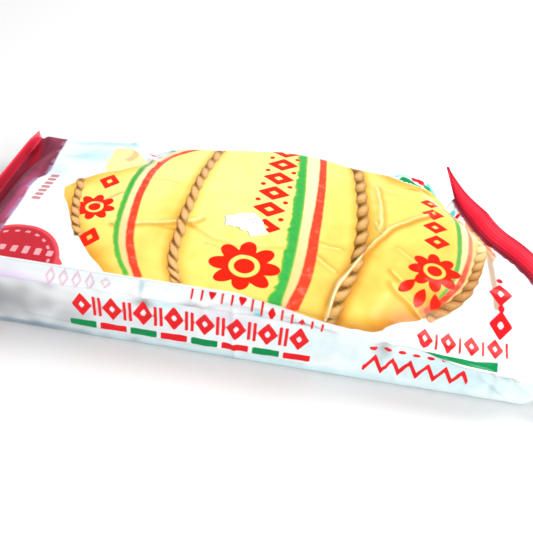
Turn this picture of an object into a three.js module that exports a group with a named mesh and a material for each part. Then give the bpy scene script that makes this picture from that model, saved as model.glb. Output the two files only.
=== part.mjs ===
// A shut film pack of cheese lying flat, and the torn scrap of a paper label stuck on its top.
// Millimetres, +Z up, +X along the pack, -Y the front side. Z = 0 is the surface the pack lies on.

import * as THREE from 'three';

// ---- driving dimensions ----------------------------------------------------------------------
const BLOCK_DEPTH = 82;        // the wrapped block, front wall to far wall
const BLOCK_HEIGHT = 26;       // top of the front crest above the table
const SEAL_WIDTH = 108;        // the film tube pressed flat: block depth plus block height
const LEFT_ROOT_X = -100.5;    // where the left end seal begins
const RIGHT_ROOT_X = 100.5;    // where the right end seal begins, at the front
const FIN_WIDTH = 8.5;         // each end seal, root to cut edge
const FIN_THICK = 0.8;         // the pressed films of a seal
const SEAL_Z = 9.5;            // height of the seals' roots

const LEFT_TOP_RUN = 20;       // length over which the top film slopes down to the left seal
const RIGHT_TOP_RUN = 24;      // the same at the right seal
const BOTTOM_RUN = 16;         // and for the film underneath
const EAR_RUN = 8;             // and at the far corners, where the film is steepest
const CROWN = 2.5;             // rise of the top's middle over its front crest

const EAR_PULL = 38.5;         // how far the right seal's far ear is pushed in towards the block
const EAR_RISE = 13;           // how far that ear stands up
const EAR_DEPTH_LOSS = 15;     // how much nearer to the block that ear lies than a flat one would
const EAR_FLARE = 4.4;         // and how much of that its very tip takes back
const EAR_GATHER = 0.28;       // share of its film lines that the ear draws together
const RIGHT_SHIFT = 9;         // the right seal lies this far towards the far side
const SWELLS = [               // soft bends of the right seal: place along it, height, half width
  [0.74, 3.2, 0.17],
  [0.12, 2.8, 0.2],
];
const FIN_LIFT = 0.35;         // slope of the right seal where it lifts off the table's plane
const HORN_TIP = [62.1, 53, 23];    // end of the right seal, which stands free past the ear
const HORN_WAIST = [0.79, 0.18, 0.12];  // narrowing below that end: place, share of the width, run
const GUSSET_DEPTH = 5;        // how far the film beside that ear sinks
const GUSSET_TUCK = 3;         // and how far it is tucked in
const GUSSET_RUN = 9;          // over this length from the seal

const FAR_EDGE_LEFT = 21.5;    // height of the top's far edge left of its summit
const FAR_EDGE_RIGHT = 23.5;   // and right of it
const FAR_SUMMIT_X = 6;
const FAR_SUMMIT_Z = 27.1;
const FAR_SUMMIT_RUN = [32, 18];    // half widths of that summit, to its left and right
const FAR_DIP_X = -48;         // dent in the far edge
const FAR_DIP = 3;
const FAR_DIP_WIDTH = 5;
const LEFT_FAR_SLOPE = 2.4;    // how much lower the far edge is near the left seal

const FAR_EDGE_DROP = 2.2;     // how far the top rounds off at its far edge
const FRONT_EDGE_DROP = 0.7;   // and at its front crest
const BOTTOM_EDGE_DROP = 0.6;

const CREST_BACK = 1.6;        // the front crest lies this far behind the wall, at the left
const CREST_TURN = 2.6;        // and comes forward by this much at the right
const BAND_TOP_DROP = 0.5;     // groove under the front crest
const CREASE_Z = 20.9;         // crease between the slanted band and the front wall
const FLAP_Z = 14.5;           // the same line where the top film hangs over the wall at the right
const FLAP_START_X = 26;
const FLAP_END_X = 78;
const FLAP_DROP = 9;           // how far the top sinks at the front where it becomes that flap
const FLAP_TURN_Y = -20;       // the sinking begins this far forward of the middle
const FLAP_BULGE = 2.4;        // how far the flap stands out from the wall

const SCRAP_GAP = 0.35;        // the scrap lies this far off the film's solid
const SCRAP_THICK = 0.45;

const STATIONS = 74;           // rings along the pack
const TOP_STEPS = 20;          // facets over the top, front crest to far edge
const WALL_STEPS = 8;          // facets down each half of a side wall
const FIN_STEPS = 2;           // facets across a seal
const CROWDING = 0.35;         // how much closer together facets lie towards edges and ends

const HALF_DEPTH = BLOCK_DEPTH / 2;
const HALF_SEAL = SEAL_WIDTH / 2;
const HALF_WALL = HALF_SEAL - HALF_DEPTH;    // length of film from a top edge to the wall's middle
const WALL_MID_Z = BLOCK_HEIGHT / 2;

// Creases of the film on the top: [x, y] points of the line, height, half width.
const CREASES = [
  { line: [[50, 9], [42.5, 2], [35, -8.5], [31.7, -15.5], [26.6, -25.5], [23, -38]], rise: 1.5, width: 2.6 },
  { line: [[35.5, 22], [36.4, 9], [36.2, -2.4]], rise: 0.9, width: 2.4 },
  { line: [[-45, -18.7], [-33, -15.6], [-24, -12.4], [-11.7, -18.6], [8, -17]], rise: 0.6, width: 2.4 },
  { line: [[40, -21], [49, -35]], rise: 0.6, width: 2.2 },
  { line: [[-56, 36], [-47, 22]], rise: 1.2, width: 2.6 },
];

// Crumpled film at the far right corner: small humps [x, y, height, radius].
const HUMPS = [
  [45, 39, 1.9, 4.2],
  [54, 38, 3.3, 3.8],
  [59, 33, 1.4, 3.0],
];

// ---- helpers ---------------------------------------------------------------------------------
const clamp01 = (k) => Math.min(1, Math.max(0, k));
const lerp = (a, b, k) => a + (b - a) * k;

// 0 at a, 1 at b, with a soft start and end; a may be the larger one.
function smooth(a, b, x) {
  const k = clamp01((x - a) / (b - a));
  return k * k * (3 - 2 * k);
}

function bump(x, middle, width) {
  return Math.exp(-(((x - middle) / width) ** 2));
}

function distanceToLine(x, y, line) {
  let best = Infinity;
  for (let i = 0; i + 1 < line.length; i += 1) {
    const [ax, ay] = line[i];
    const [bx, by] = line[i + 1];
    const dx = bx - ax;
    const dy = by - ay;
    const k = clamp01(((x - ax) * dx + (y - ay) * dy) / (dx * dx + dy * dy));
    best = Math.min(best, Math.hypot(x - ax - k * dx, y - ay - k * dy));
  }
  return best;
}

// ---- the wrapped block -----------------------------------------------------------------------
function farEdgeZ(x) {
  const left = x < FAR_SUMMIT_X;
  const base = left ? FAR_EDGE_LEFT : FAR_EDGE_RIGHT;
  const summit = (FAR_SUMMIT_Z - base) * bump(x, FAR_SUMMIT_X, FAR_SUMMIT_RUN[left ? 0 : 1]);
  const dip = FAR_DIP * bump(x, FAR_DIP_X, FAR_DIP_WIDTH);
  const slope = LEFT_FAR_SLOPE * smooth(-56, -84, x);
  return base + summit - dip - slope;
}

// How far the front edge has turned into the flap that hangs over the wall: 0 left, 1 right.
function flapShare(x) {
  return smooth(FLAP_START_X, FLAP_END_X, x);
}

function topZ(x, y) {
  const across = y / HALF_DEPTH;
  const crown = CROWN * (1 - across * across) * Math.max(0, 1 - (x / 90) ** 4);
  const farDrop = (BLOCK_HEIGHT - farEdgeZ(x)) * smooth(5, HALF_DEPTH, y);
  const flapDrop = FLAP_DROP * flapShare(x) * smooth(FLAP_TURN_Y, -HALF_DEPTH, y);
  let z = BLOCK_HEIGHT + crown - farDrop - flapDrop;
  const calm = smooth(HALF_DEPTH, HALF_DEPTH - 5, Math.abs(y));
  for (const crease of CREASES) {
    z += crease.rise * bump(distanceToLine(x, y, crease.line), 0, crease.width) * calm;
  }
  for (const [hx, hy, rise, radius] of HUMPS) {
    z += rise * bump(Math.hypot(x - hx, y - hy), 0, radius);
  }
  return z - edgeRounding(y, 4, y > 0 ? FAR_EDGE_DROP : FRONT_EDGE_DROP);
}

// Drop of a face near its long edges, as a quarter round of the given radius and depth.
function edgeRounding(y, radius, depth) {
  const past = clamp01((Math.abs(y) - (HALF_DEPTH - radius)) / radius);
  return depth * (1 - Math.sqrt(1 - past * past));
}

// The front from its crest (k = 0) down to the middle of the wall (k = 1).
function frontPoint(x, k) {
  const flap = flapShare(x);
  const crestY = -HALF_DEPTH + CREST_BACK - CREST_TURN * smooth(-5, 30, x);
  const crestZ = topZ(x, -HALF_DEPTH);
  const creaseZ = lerp(CREASE_Z, FLAP_Z, flap);
  const creaseY = -HALF_DEPTH - 1 - FLAP_BULGE * flap;
  const grooveY = lerp(crestY + 1.1, (crestY + creaseY) / 2, smooth(20, 40, x));
  const grooveZ = lerp(crestZ - BAND_TOP_DROP, (crestZ + creaseZ) / 2, smooth(20, 40, x));
  const stops = [
    [0, crestY, crestZ],
    [0.13, grooveY, grooveZ],
    [0.42, creaseY, creaseZ],
    [0.5, lerp(creaseY, -HALF_DEPTH + 0.8, 0.55 + 0.45 * flap), creaseZ - 1],
    [1, -HALF_DEPTH + 0.4, Math.min(WALL_MID_Z, creaseZ - 3)],
  ];
  let i = 1;
  while (i < stops.length - 1 && k > stops[i][0]) i += 1;
  const [k0, y0, z0] = stops[i - 1];
  const [k1, y1, z1] = stops[i];
  const share = (k - k0) / (k1 - k0);
  return [lerp(y0, y1, share), lerp(z0, z1, share)];
}

// Middle of the front and far walls, where the upper and the lower film meet.
function wallMiddle(x, side) {
  if (side < 0) return frontPoint(x, 1);
  return [HALF_DEPTH + 0.4, WALL_MID_Z];
}

// Point of the block's section at x, for the film line `across`, which runs from -HALF_SEAL at
// the middle of the front wall to +HALF_SEAL at the middle of the far wall.
function blockPoint(x, across, upper) {
  const side = Math.sign(across);
  const past = Math.abs(across) - HALF_DEPTH;
  if (past <= 0) {
    if (!upper) return [across, edgeRounding(across, 1.5, BOTTOM_EDGE_DROP)];
    const share = smooth(-HALF_DEPTH + 8, -HALF_DEPTH, across);
    const [crestY] = frontPoint(x, 0);
    return [across + (crestY + HALF_DEPTH) * share, topZ(x, across)];
  }
  const k = past / HALF_WALL;
  if (upper && side < 0) return frontPoint(x, k);
  const [midY, midZ] = wallMiddle(x, side);
  const edgeZ = upper ? topZ(x, side * HALF_DEPTH) : BOTTOM_EDGE_DROP;
  return [lerp(side * HALF_DEPTH, midY, Math.sqrt(k)), lerp(edgeZ, midZ, k)];
}

// ---- the end seals ---------------------------------------------------------------------------
// Root lines of the seals, for w from -1 (near ear) to 1 (far ear).
function leftRoot(w) {
  const far = Math.max(w, 0);
  return new THREE.Vector3(LEFT_ROOT_X, w * HALF_SEAL - 2.6 * far ** 3, SEAL_Z + 0.6 * far ** 2);
}

function rightLine(v) {
  const far = Math.max(v, 0);
  const x = RIGHT_ROOT_X - EAR_PULL * smooth(-0.55, 1.05, v);
  let y = RIGHT_SHIFT + HALF_SEAL * v - EAR_DEPTH_LOSS * far + EAR_FLARE * far ** 4;
  for (const [place, rise, width] of SWELLS) y += rise * bump(v, place, width);
  return new THREE.Vector3(x, y, SEAL_Z + EAR_RISE * far ** 2);
}

// Film near the far ear is gathered: its lines lie closer together along the seal.
function gathered(w) {
  return w - EAR_GATHER * smooth(0.45, 1, w);
}

function rightRoot(w) {
  return rightLine(gathered(w));
}

// Each seal from its root to its cut edge. The left one stands up, its ears bent inwards.
function leftFin(w) {
  const bend = smooth(0.6, 1, Math.abs(w)) * Math.sign(w);
  return new THREE.Vector3(0.3, -0.75 * bend, 0.95).setLength(FIN_WIDTH);
}

// The right one lies out flat, square to its root, and past the gathered film it runs on as a horn.
function rightFin(w) {
  const step = 0.02;
  const v = gathered(w);
  const along = rightLine(v + step).sub(rightLine(v - step));
  const out = new THREE.Vector3(along.y, -along.x, 3 * step).normalize();
  out.z += FIN_LIFT * smooth(-0.2, 0.2, v) * smooth(0.8, 0.5, v);
  const horn = new THREE.Vector3(...HORN_TIP).sub(rightRoot(w));
  const [place, share, run] = HORN_WAIST;
  const waist = 1 - share * bump(w, place, run);
  return out.setLength(FIN_WIDTH).lerp(horn, smooth(0.62, 1, w)).multiplyScalar(waist);
}

// ---- the whole film --------------------------------------------------------------------------
function filmPoint(s, w, upper) {
  const left = leftRoot(w);
  const right = rightRoot(w);
  const x = lerp(left.x, right.x, s);
  const nearWall = smooth(HALF_DEPTH - 6, HALF_SEAL, Math.abs(w) * HALF_SEAL);
  const plainLeftRun = lerp(upper ? LEFT_TOP_RUN : BOTTOM_RUN, (LEFT_TOP_RUN + BOTTOM_RUN) / 2, nearWall);
  const leftRun = lerp(plainLeftRun, EAR_RUN, smooth(0.5, 0.8, w));
  const wallRun = lerp((RIGHT_TOP_RUN + BOTTOM_RUN) / 2, EAR_RUN, smooth(0.4, 0.9, w));
  const rightRun = lerp(upper ? RIGHT_TOP_RUN : BOTTOM_RUN, wallRun, nearWall);
  const block = smooth(0, leftRun, x - left.x) * smooth(0, rightRun, right.x - x);
  const end = s < 0.5 ? left : right;
  const skin = (upper ? 1 : -1) * (1 - Math.abs(w) ** 8) * FIN_THICK / 2;
  const beside = smooth(0, GUSSET_RUN / 2, right.x - x) * smooth(GUSSET_RUN, GUSSET_RUN / 2, right.x - x);
  const gusset = beside * smooth(0.55, 0.85, w);
  const [blockY, blockZ] = blockPoint(x, w * HALF_SEAL, upper);
  const y = lerp(end.y, blockY, block) - GUSSET_TUCK * gusset;
  const z = lerp(end.z + skin, blockZ, block) - GUSSET_DEPTH * gusset;
  return new THREE.Vector3(x, y, Math.max(z, 0));
}

function finPoint(root, direction, w, reach, upper) {
  const middle = root(w).addScaledVector(direction(w), reach);
  const step = 0.02;
  const along = root(w + step).sub(root(w - step)).normalize();
  const face = new THREE.Vector3().crossVectors(direction(w), along).normalize();
  const side = root === leftRoot ? -1 : 1;
  const skin = (upper ? 1 : -1) * (1 - Math.abs(w) ** 8) * FIN_THICK / 2;
  return middle.addScaledVector(face, side * skin);
}

// Film lines w across a ring, closer together over the side walls.
function filmLines() {
  const wall = HALF_DEPTH / HALF_SEAL;
  const lines = [];
  for (let i = 0; i <= WALL_STEPS; i += 1) lines.push(lerp(-1, -wall, i / WALL_STEPS));
  for (let i = 1; i <= TOP_STEPS; i += 1) {
    const rounded = -wall * Math.cos((Math.PI * i) / TOP_STEPS);
    lines.push(lerp(lerp(-wall, wall, i / TOP_STEPS), rounded, CROWDING));
  }
  for (let i = 1; i <= WALL_STEPS; i += 1) lines.push(lerp(wall, 1, i / WALL_STEPS));
  return lines;
}

function ring(place, lines) {
  const upper = lines.map((w) => place(w, true));
  const lower = lines.slice(1, -1).map((w) => place(w, false)).reverse();
  return [...upper, ...lower];
}

function packRings(lines) {
  const rings = [];
  for (let i = FIN_STEPS; i >= 1; i -= 1) {
    rings.push(ring((w, up) => finPoint(leftRoot, leftFin, w, i / FIN_STEPS, up), lines));
  }
  for (let i = 0; i <= STATIONS; i += 1) {
    const s = lerp(i / STATIONS, 0.5 - 0.5 * Math.cos((Math.PI * i) / STATIONS), CROWDING);
    rings.push(ring((w, up) => filmPoint(s, w, up), lines));
  }
  for (let i = 1; i <= FIN_STEPS; i += 1) {
    rings.push(ring((w, up) => finPoint(rightRoot, rightFin, w, i / FIN_STEPS, up), lines));
  }
  return rings;
}

// Closed skin through rings of equal length, its two ends filled between upper and lower film.
function loft(rings, upperCount) {
  const size = rings[0].length;
  const positions = rings.flat().flatMap((p) => [p.x, p.y, p.z]);
  const index = [];
  for (let i = 0; i + 1 < rings.length; i += 1) {
    for (let j = 0; j < size; j += 1) {
      const a = i * size + j;
      const b = i * size + ((j + 1) % size);
      index.push(a, a + size, b, b, a + size, b + size);
    }
  }
  const cap = (base, flip) => {
    for (let j = 0; j + 1 < upperCount; j += 1) {
      const up0 = base + j;
      const up1 = base + j + 1;
      const low0 = base + ((size - j) % size);
      const low1 = j + 1 === upperCount - 1 ? up1 : base + size - j - 1;
      const faces = [[up0, up1, low1], [up0, low1, low0]];
      for (const [a, b, c] of faces) {
        if (a === b || b === c || a === c) continue;
        if (flip) index.push(a, c, b);
        else index.push(a, b, c);
      }
    }
  };
  cap(0, false);
  cap((rings.length - 1) * size, true);
  const geometry = new THREE.BufferGeometry();
  geometry.setAttribute('position', new THREE.Float32BufferAttribute(positions, 3));
  geometry.setIndex(index);
  geometry.computeVertexNormals();
  return geometry;
}

function filmPack() {
  const lines = filmLines();
  const material = new THREE.MeshStandardMaterial({ color: 0xf6e27a, roughness: 0.25, metalness: 0 });
  const mesh = new THREE.Mesh(loft(packRings(lines), lines.length), material);
  mesh.name = 'film_pack';
  return mesh;
}

// ---- the scrap of a torn paper label ---------------------------------------------------------
// Torn outline on the top of the pack, [x, y].
const SCRAP_OUTLINE = [
  [-13.3, -7.4], [-10.1, -5.9], [-8.9, -4.5], [-5.4, -3.8], [-1, -7.2], [-0.4, -9.6], [1.4, -12.4],
  [-3.9, -15.4], [-5, -13.1], [-8, -12], [-9.6, -12.1], [-12.9, -11.7],
];

function labelScrap() {
  const middle = [-5.6, -9];
  const rows = [0.34, 0.67, 1];
  const count = SCRAP_OUTLINE.length;
  const corners = [middle];
  for (const share of rows) {
    for (const [x, y] of SCRAP_OUTLINE) {
      corners.push([lerp(middle[0], x, share), lerp(middle[1], y, share)]);
    }
  }
  const lift = (height) => corners.flatMap(([x, y]) => [x, y, topZ(x, y) + height]);
  const positions = [...lift(SCRAP_GAP), ...lift(SCRAP_GAP + SCRAP_THICK)];
  const layer = corners.length;
  const index = [];
  const face = (a, b, c) => {
    index.push(a, b, c);
    index.push(a + layer, c + layer, b + layer);
  };
  for (let j = 0; j < count; j += 1) {
    const next = (j + 1) % count;
    face(0, 1 + j, 1 + next);
    for (let row = 0; row + 1 < rows.length; row += 1) {
      const inner = 1 + row * count;
      const outer = inner + count;
      face(inner + j, outer + j, outer + next);
      face(inner + j, outer + next, inner + next);
    }
    const rim = 1 + (rows.length - 1) * count;
    index.push(rim + j, rim + j + layer, rim + next + layer);
    index.push(rim + j, rim + next + layer, rim + next);
  }
  const geometry = new THREE.BufferGeometry();
  geometry.setAttribute('position', new THREE.Float32BufferAttribute(positions, 3));
  geometry.setIndex(index);
  geometry.computeVertexNormals();
  const material = new THREE.MeshStandardMaterial({ color: 0xf8f4f6, roughness: 0.8, metalness: 0 });
  const mesh = new THREE.Mesh(geometry, material);
  mesh.name = 'label_scrap';
  return mesh;
}

const group = new THREE.Group();
group.add(filmPack());
group.add(labelScrap());

export default group;
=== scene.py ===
"""A shut film pack of cheese: the printed film drawn tight over the block, its pressed end seals,
and the torn scrap of a paper label on its top. Lengths are in millimetres until a mesh is made.

A place on the film is (x, film line): the line is the distance across the film from its middle,
-41 to 41 over the top, 54 at the middle of either wall, and on from there underneath."""

import math

import bpy
import numpy as np
from mathutils import Matrix, Vector


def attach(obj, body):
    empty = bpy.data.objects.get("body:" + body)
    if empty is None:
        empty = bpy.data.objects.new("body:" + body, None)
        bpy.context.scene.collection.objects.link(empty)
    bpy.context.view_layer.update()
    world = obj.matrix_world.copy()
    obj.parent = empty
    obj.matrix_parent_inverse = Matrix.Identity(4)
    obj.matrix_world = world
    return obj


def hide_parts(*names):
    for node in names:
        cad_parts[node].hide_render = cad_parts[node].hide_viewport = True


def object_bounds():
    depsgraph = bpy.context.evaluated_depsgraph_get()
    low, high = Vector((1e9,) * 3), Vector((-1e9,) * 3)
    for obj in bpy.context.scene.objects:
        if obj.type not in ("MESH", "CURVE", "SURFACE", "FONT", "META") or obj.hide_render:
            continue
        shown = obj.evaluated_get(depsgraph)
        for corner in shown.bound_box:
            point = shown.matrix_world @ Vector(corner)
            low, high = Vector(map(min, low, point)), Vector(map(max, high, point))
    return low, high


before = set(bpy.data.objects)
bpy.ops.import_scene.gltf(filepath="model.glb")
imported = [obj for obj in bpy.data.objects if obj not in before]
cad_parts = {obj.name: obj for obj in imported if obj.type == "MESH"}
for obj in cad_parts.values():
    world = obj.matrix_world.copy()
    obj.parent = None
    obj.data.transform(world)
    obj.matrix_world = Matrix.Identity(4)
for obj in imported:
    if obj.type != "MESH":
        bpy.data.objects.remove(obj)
cad_low, cad_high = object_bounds()

MM = 0.001

# ---- sizes that the solids share ---------------------------------------------------------------
BLOCK_DEPTH = 82.0
BLOCK_HEIGHT = 26.0
CROWN = 2.5
CROWN_END_X = 90
# The two seals: where they join the block's film, and their pressed fins.
SEAL_WIDTH = 108.0
SEAL_Z = 9.5
LEFT_ROOT_X = -100.5
RIGHT_ROOT_X = 100.5
FIN_WIDTH = 8.5
FIN_THICK = 0.5
FIN_LIFT = 0.35
# How far the film slopes from a seal to the block: over, under, and at the far right ear.
LEFT_TOP_RUN = 20.0
RIGHT_TOP_RUN = 24.0
BOTTOM_RUN = 16.0
EAR_RUN = 8.0
# The right seal is pushed askew, its far ear pulled in and up; swells are (place, rise, width).
RIGHT_SHIFT = 9.0
EAR_PULL = 38.5
EAR_RISE = 13.0
EAR_DEPTH_LOSS = 15.0
EAR_FLARE = 4.4
EAR_GATHER = 0.28
SWELLS = [(0.74, 3.2, 0.17), (0.12, 2.8, 0.2)]
# The ear runs out into a horn, narrower at its waist: (place, share, run).
HORN_TIP = (62.1, 53.0, 23.0)
HORN_WAIST = (0.79, 0.18, 0.12)
HORN_OVERSHOOT = 1.08
TIP_WIDTH = 1.1
GUSSET_DEPTH = 5.0
GUSSET_TUCK = 3.0
GUSSET_RUN = 9.0
# The top's far edge: its height to either side of its summit, and one dip in it.
FAR_EDGE_LEFT = 21.5
FAR_EDGE_RIGHT = 23.5
FAR_SUMMIT_X = 6.0
FAR_SUMMIT_Z = 27.1
FAR_DIP_X = -48.0
FAR_DIP = 3.0
FAR_DIP_WIDTH = 5.0
LEFT_FAR_SLOPE = 2.4
FAR_TURN_Y = 5
# The left seal's far end lies in and up a little.
LEFT_END_LOSS = 2.6
LEFT_END_RISE = 0.6
# How much each edge is rounded off.
EDGE_RADIUS = 4
BOTTOM_EDGE_RADIUS = 1.5
FAR_EDGE_DROP = 2.2
FRONT_EDGE_DROP = 0.7
FRONT_EDGE_SOFT = 0.8
BOTTOM_EDGE_DROP = 0.6
# The front: its crest, the band under it, the crease below that, and the flap towards the right.
CREST_BACK = 1.6
CREST_TURN = 2.6
CREST_BLEND = 8
BAND_TOP_DROP = 0.5
CREASE_Z = 20.9
CREASE_OUT = 1
FLAP_Z = 14.5
FLAP_OUT = 2.4
FLAP_DROP = 9.0
FLAP_TURN_Y = -20.0
FLAP_START_X = 26.0
FLAP_END_X = 78.0
WALL_BULGE = 0.4
TUCK_BACK = 0.8
# Shares of the way down the front at which the band, the crease and the tuck under it lie.
BAND_PLACE = 0.13
CREASE_PLACE = 0.42
TUCK_PLACE = 0.5
HALF_DEPTH = BLOCK_DEPTH / 2
HALF_SEAL = SEAL_WIDTH / 2
HALF_WALL = HALF_SEAL - HALF_DEPTH
WALL_MID_Z = BLOCK_HEIGHT / 2
WALL_SHARE = HALF_DEPTH / HALF_SEAL

# ---- how finely the film is drawn --------------------------------------------------------------
STATIONS = 436
FRONT_STEPS = 26
TOP_STEPS = 142
FAR_STEPS = 14
UNDER_FAR_STEPS = 6
UNDER_FRONT_STEPS = 20
UNDER_STEPS = 10
FIN_STEPS = 8
# Stations lie closer together about this place, for the deep creases.
FINE_PLACE = 0.69
FINE_RUN = 0.1
FINE_GAIN = 0.8


# ---- small helpers -----------------------------------------------------------------------------
def smooth(a, b, x):
    """0 at a, 1 at b, with a soft start and end; a may be the larger one."""
    k = np.clip((np.asarray(x, float) - a) / (b - a), 0.0, 1.0)
    return k * k * (3 - 2 * k)


def lerp(a, b, k):
    return a + (b - a) * k


def bell(x, middle, width):
    return np.exp(-(((x - middle) / width) ** 2))


def waves(x, v, seed, length, count=7):
    """Soft random ripples of about one wavelength, between -1 and 1, the same each run."""
    rng = np.random.default_rng(seed)
    total = 0.0
    for _ in range(count):
        angle = rng.uniform(0, 2 * math.pi)
        size = length * rng.uniform(0.7, 1.5)
        phase = rng.uniform(0, 2 * math.pi)
        along = x * math.cos(angle) + v * math.sin(angle)
        total = total + np.cos(2 * math.pi * along / size + phase)
    return total / math.sqrt(count) / 1.4


def spline(points, per_span=8):
    """Smooth path through given points."""
    p = np.array(points, float)
    p = np.vstack([2 * p[0] - p[1], p, 2 * p[-1] - p[-2]])
    t = np.linspace(0, 1, per_span, endpoint=False)[:, None]
    out = []
    for i in range(1, len(p) - 2):
        a, b, c, d = p[i - 1], p[i], p[i + 1], p[i + 2]
        out.append(0.5 * (2 * b + (c - a) * t + (2 * a - 5 * b + 4 * c - d) * t**2
                          + (3 * b - a - 3 * c + d) * t**3))
    out.append(p[-2:-1])
    return np.vstack(out)


def path_distance(x, v, path):
    """Distance to a path, the length along it, and the side: +1 left of its direction, -1 right."""
    best = np.full(np.shape(x), np.inf)
    along = np.zeros(np.shape(x))
    side = np.zeros(np.shape(x))
    done = 0.0
    for (ax, ay), (bx, by) in zip(path[:-1], path[1:]):
        dx, dy = bx - ax, by - ay
        size = math.hypot(dx, dy)
        k = np.clip(((x - ax) * dx + (v - ay) * dy) / (size * size), 0, 1)
        gap = np.hypot(x - ax - k * dx, v - ay - k * dy)
        near = gap < best
        best = np.where(near, gap, best)
        along = np.where(near, done + k * size, along)
        side = np.where(near, np.sign(dx * (v - ay) - dy * (x - ax)), side)
        done += size
    return best, along, side


# ---- the film's form ---------------------------------------------------------------------------
# Sharp creases on the top: path, height, half width, how strongly its painted highlight and painted shade
# show.
CREASES = [
    ([(54, 12.4), (50.1, 8.4), (43.0, 2.2), (38.5, -2.8), (35.2, -8.3), (31.9, -15.1), (29.2, -20.2),
      (26.6, -25.7), (24.3, -31.0), (22.9, -37.3), (22.3, -41)], 1.1, 0.8, 1.0),
    ([(35.1, 25), (35.5, 21.8), (36.3, 12.9), (36.4, 5.5), (36.3, -0.3), (36.2, -2.2)], 0.7, 0.85, 0.66),
    ([(-20.8, -10.4), (-23.4, -12.6), (-27.5, -13.5), (-32.7, -15.4), (-38.3, -16.9), (-42.7, -18.3),
      (-46, -18.8)], 0.5, 0.8, 0.65),
    ([(12, -17), (4, -18), (-7.0, -19.9), (-11.7, -18.7), (-15.5, -17.9), (-21.1, -14.6), (-23.7, -12.3)],
     0.35, 0.7, 0.3),
    ([(-53, -11), (-48, -4)], 0.35, 0.8, 0.5),
    ([(49.4, -35.2), (45.8, -31.9), (42.6, -29.1), (40.3, -26.1)], 0.5, 0.85, 0.35),
    ([(42.4, -23.6), (40.2, -21.1)], 0.35, 0.7, 0.5),
    ([(17, -14), (24, -15)], 0.3, 0.7, 0.4),
    ([(17, -20), (23, -25)], 0.3, 0.7, 0.5),
    ([(-56, 38), (-51, 32), (-44, 22)], 1.3, 1.2, 0.0),
    ([(34.6, 1.5), (35.6, -2.4), (37.0, -4.6)], 0.3, 0.6, 0.5),
    ([(-16, -22), (-9, -24.5), (-5, -24)], 0.25, 0.6, 0.35),
    ([(-46, 4), (-40, 7), (-33, 6.5)], 0.25, 0.7, 0.3),
    ([(2, 14), (8, 12.5), (13, 13.4)], 0.2, 0.6, 0.3),
    ([(42, -10.5), (46, -14.5), (47.5, -18)], 0.25, 0.6, 0.35),
]
CREASE_SHARPNESS = 1.3
# The creases fade out within this distance of the top's edges.
CREASE_FADE = 4
# Crumpled film at the far right corner: humps (x, y, height, radius).
HUMPS = [(45, 39, 1.9, 4.2), (54, 38, 3.3, 3.8), (59, 33, 1.4, 3.0)]


def far_edge_z(x):
    left = x < FAR_SUMMIT_X
    base = np.where(left, FAR_EDGE_LEFT, FAR_EDGE_RIGHT)
    summit = (FAR_SUMMIT_Z - base) * bell(x, FAR_SUMMIT_X, np.where(left, 32.0, 18.0))
    dip = FAR_DIP * bell(x, FAR_DIP_X, FAR_DIP_WIDTH)
    return base + summit - dip - LEFT_FAR_SLOPE * smooth(-56, -84, x)


def flap_share(x):
    """How far the front edge has turned into the flap over the wall: 0 left, 1 right."""
    return smooth(FLAP_START_X, FLAP_END_X, x)


def edge_rounding(y, radius, depth):
    past = np.clip((np.abs(y) - (HALF_DEPTH - radius)) / radius, 0, 1)
    return depth * (1 - np.sqrt(1 - past * past))


def wandering(x, y):
    """The same place shifted a little, so that lines drawn there wander like creased film."""
    x, y = x + 0 * y, y + 0 * x
    return x + 0.25 * waves(x, y, 41, 8), y + 0.25 * waves(x, y, 42, 8)


def crease_relief(x, y):
    calm = smooth(HALF_DEPTH, HALF_DEPTH - CREASE_FADE, np.abs(y))
    x, y = wandering(x, y)
    z = 0.0
    for points, rise, width, _ in CREASES:
        gap = path_distance(x, y, spline(points, 4))[0]
        z = z + rise * calm * np.exp(-((gap / width) ** CREASE_SHARPNESS))
    return z


def top_z(x, y):
    across = y / HALF_DEPTH
    crown = CROWN * (1 - across**2) * np.maximum(0, 1 - (x / CROWN_END_X) ** 4)
    far_drop = (BLOCK_HEIGHT - far_edge_z(x)) * smooth(FAR_TURN_Y, HALF_DEPTH, y)
    flap_drop = FLAP_DROP * flap_share(x) * smooth(FLAP_TURN_Y, -HALF_DEPTH, y)
    z = BLOCK_HEIGHT + crown - far_drop - flap_drop + crease_relief(x, y)
    for hx, hy, rise, radius in HUMPS:
        z = z + rise * bell(np.hypot(x - hx, y - hy), 0, radius)
    front_drop = FRONT_EDGE_DROP + FRONT_EDGE_SOFT * smooth(-5, 20, x)
    return z - edge_rounding(y, EDGE_RADIUS, np.where(y > 0, FAR_EDGE_DROP, front_drop))


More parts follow.
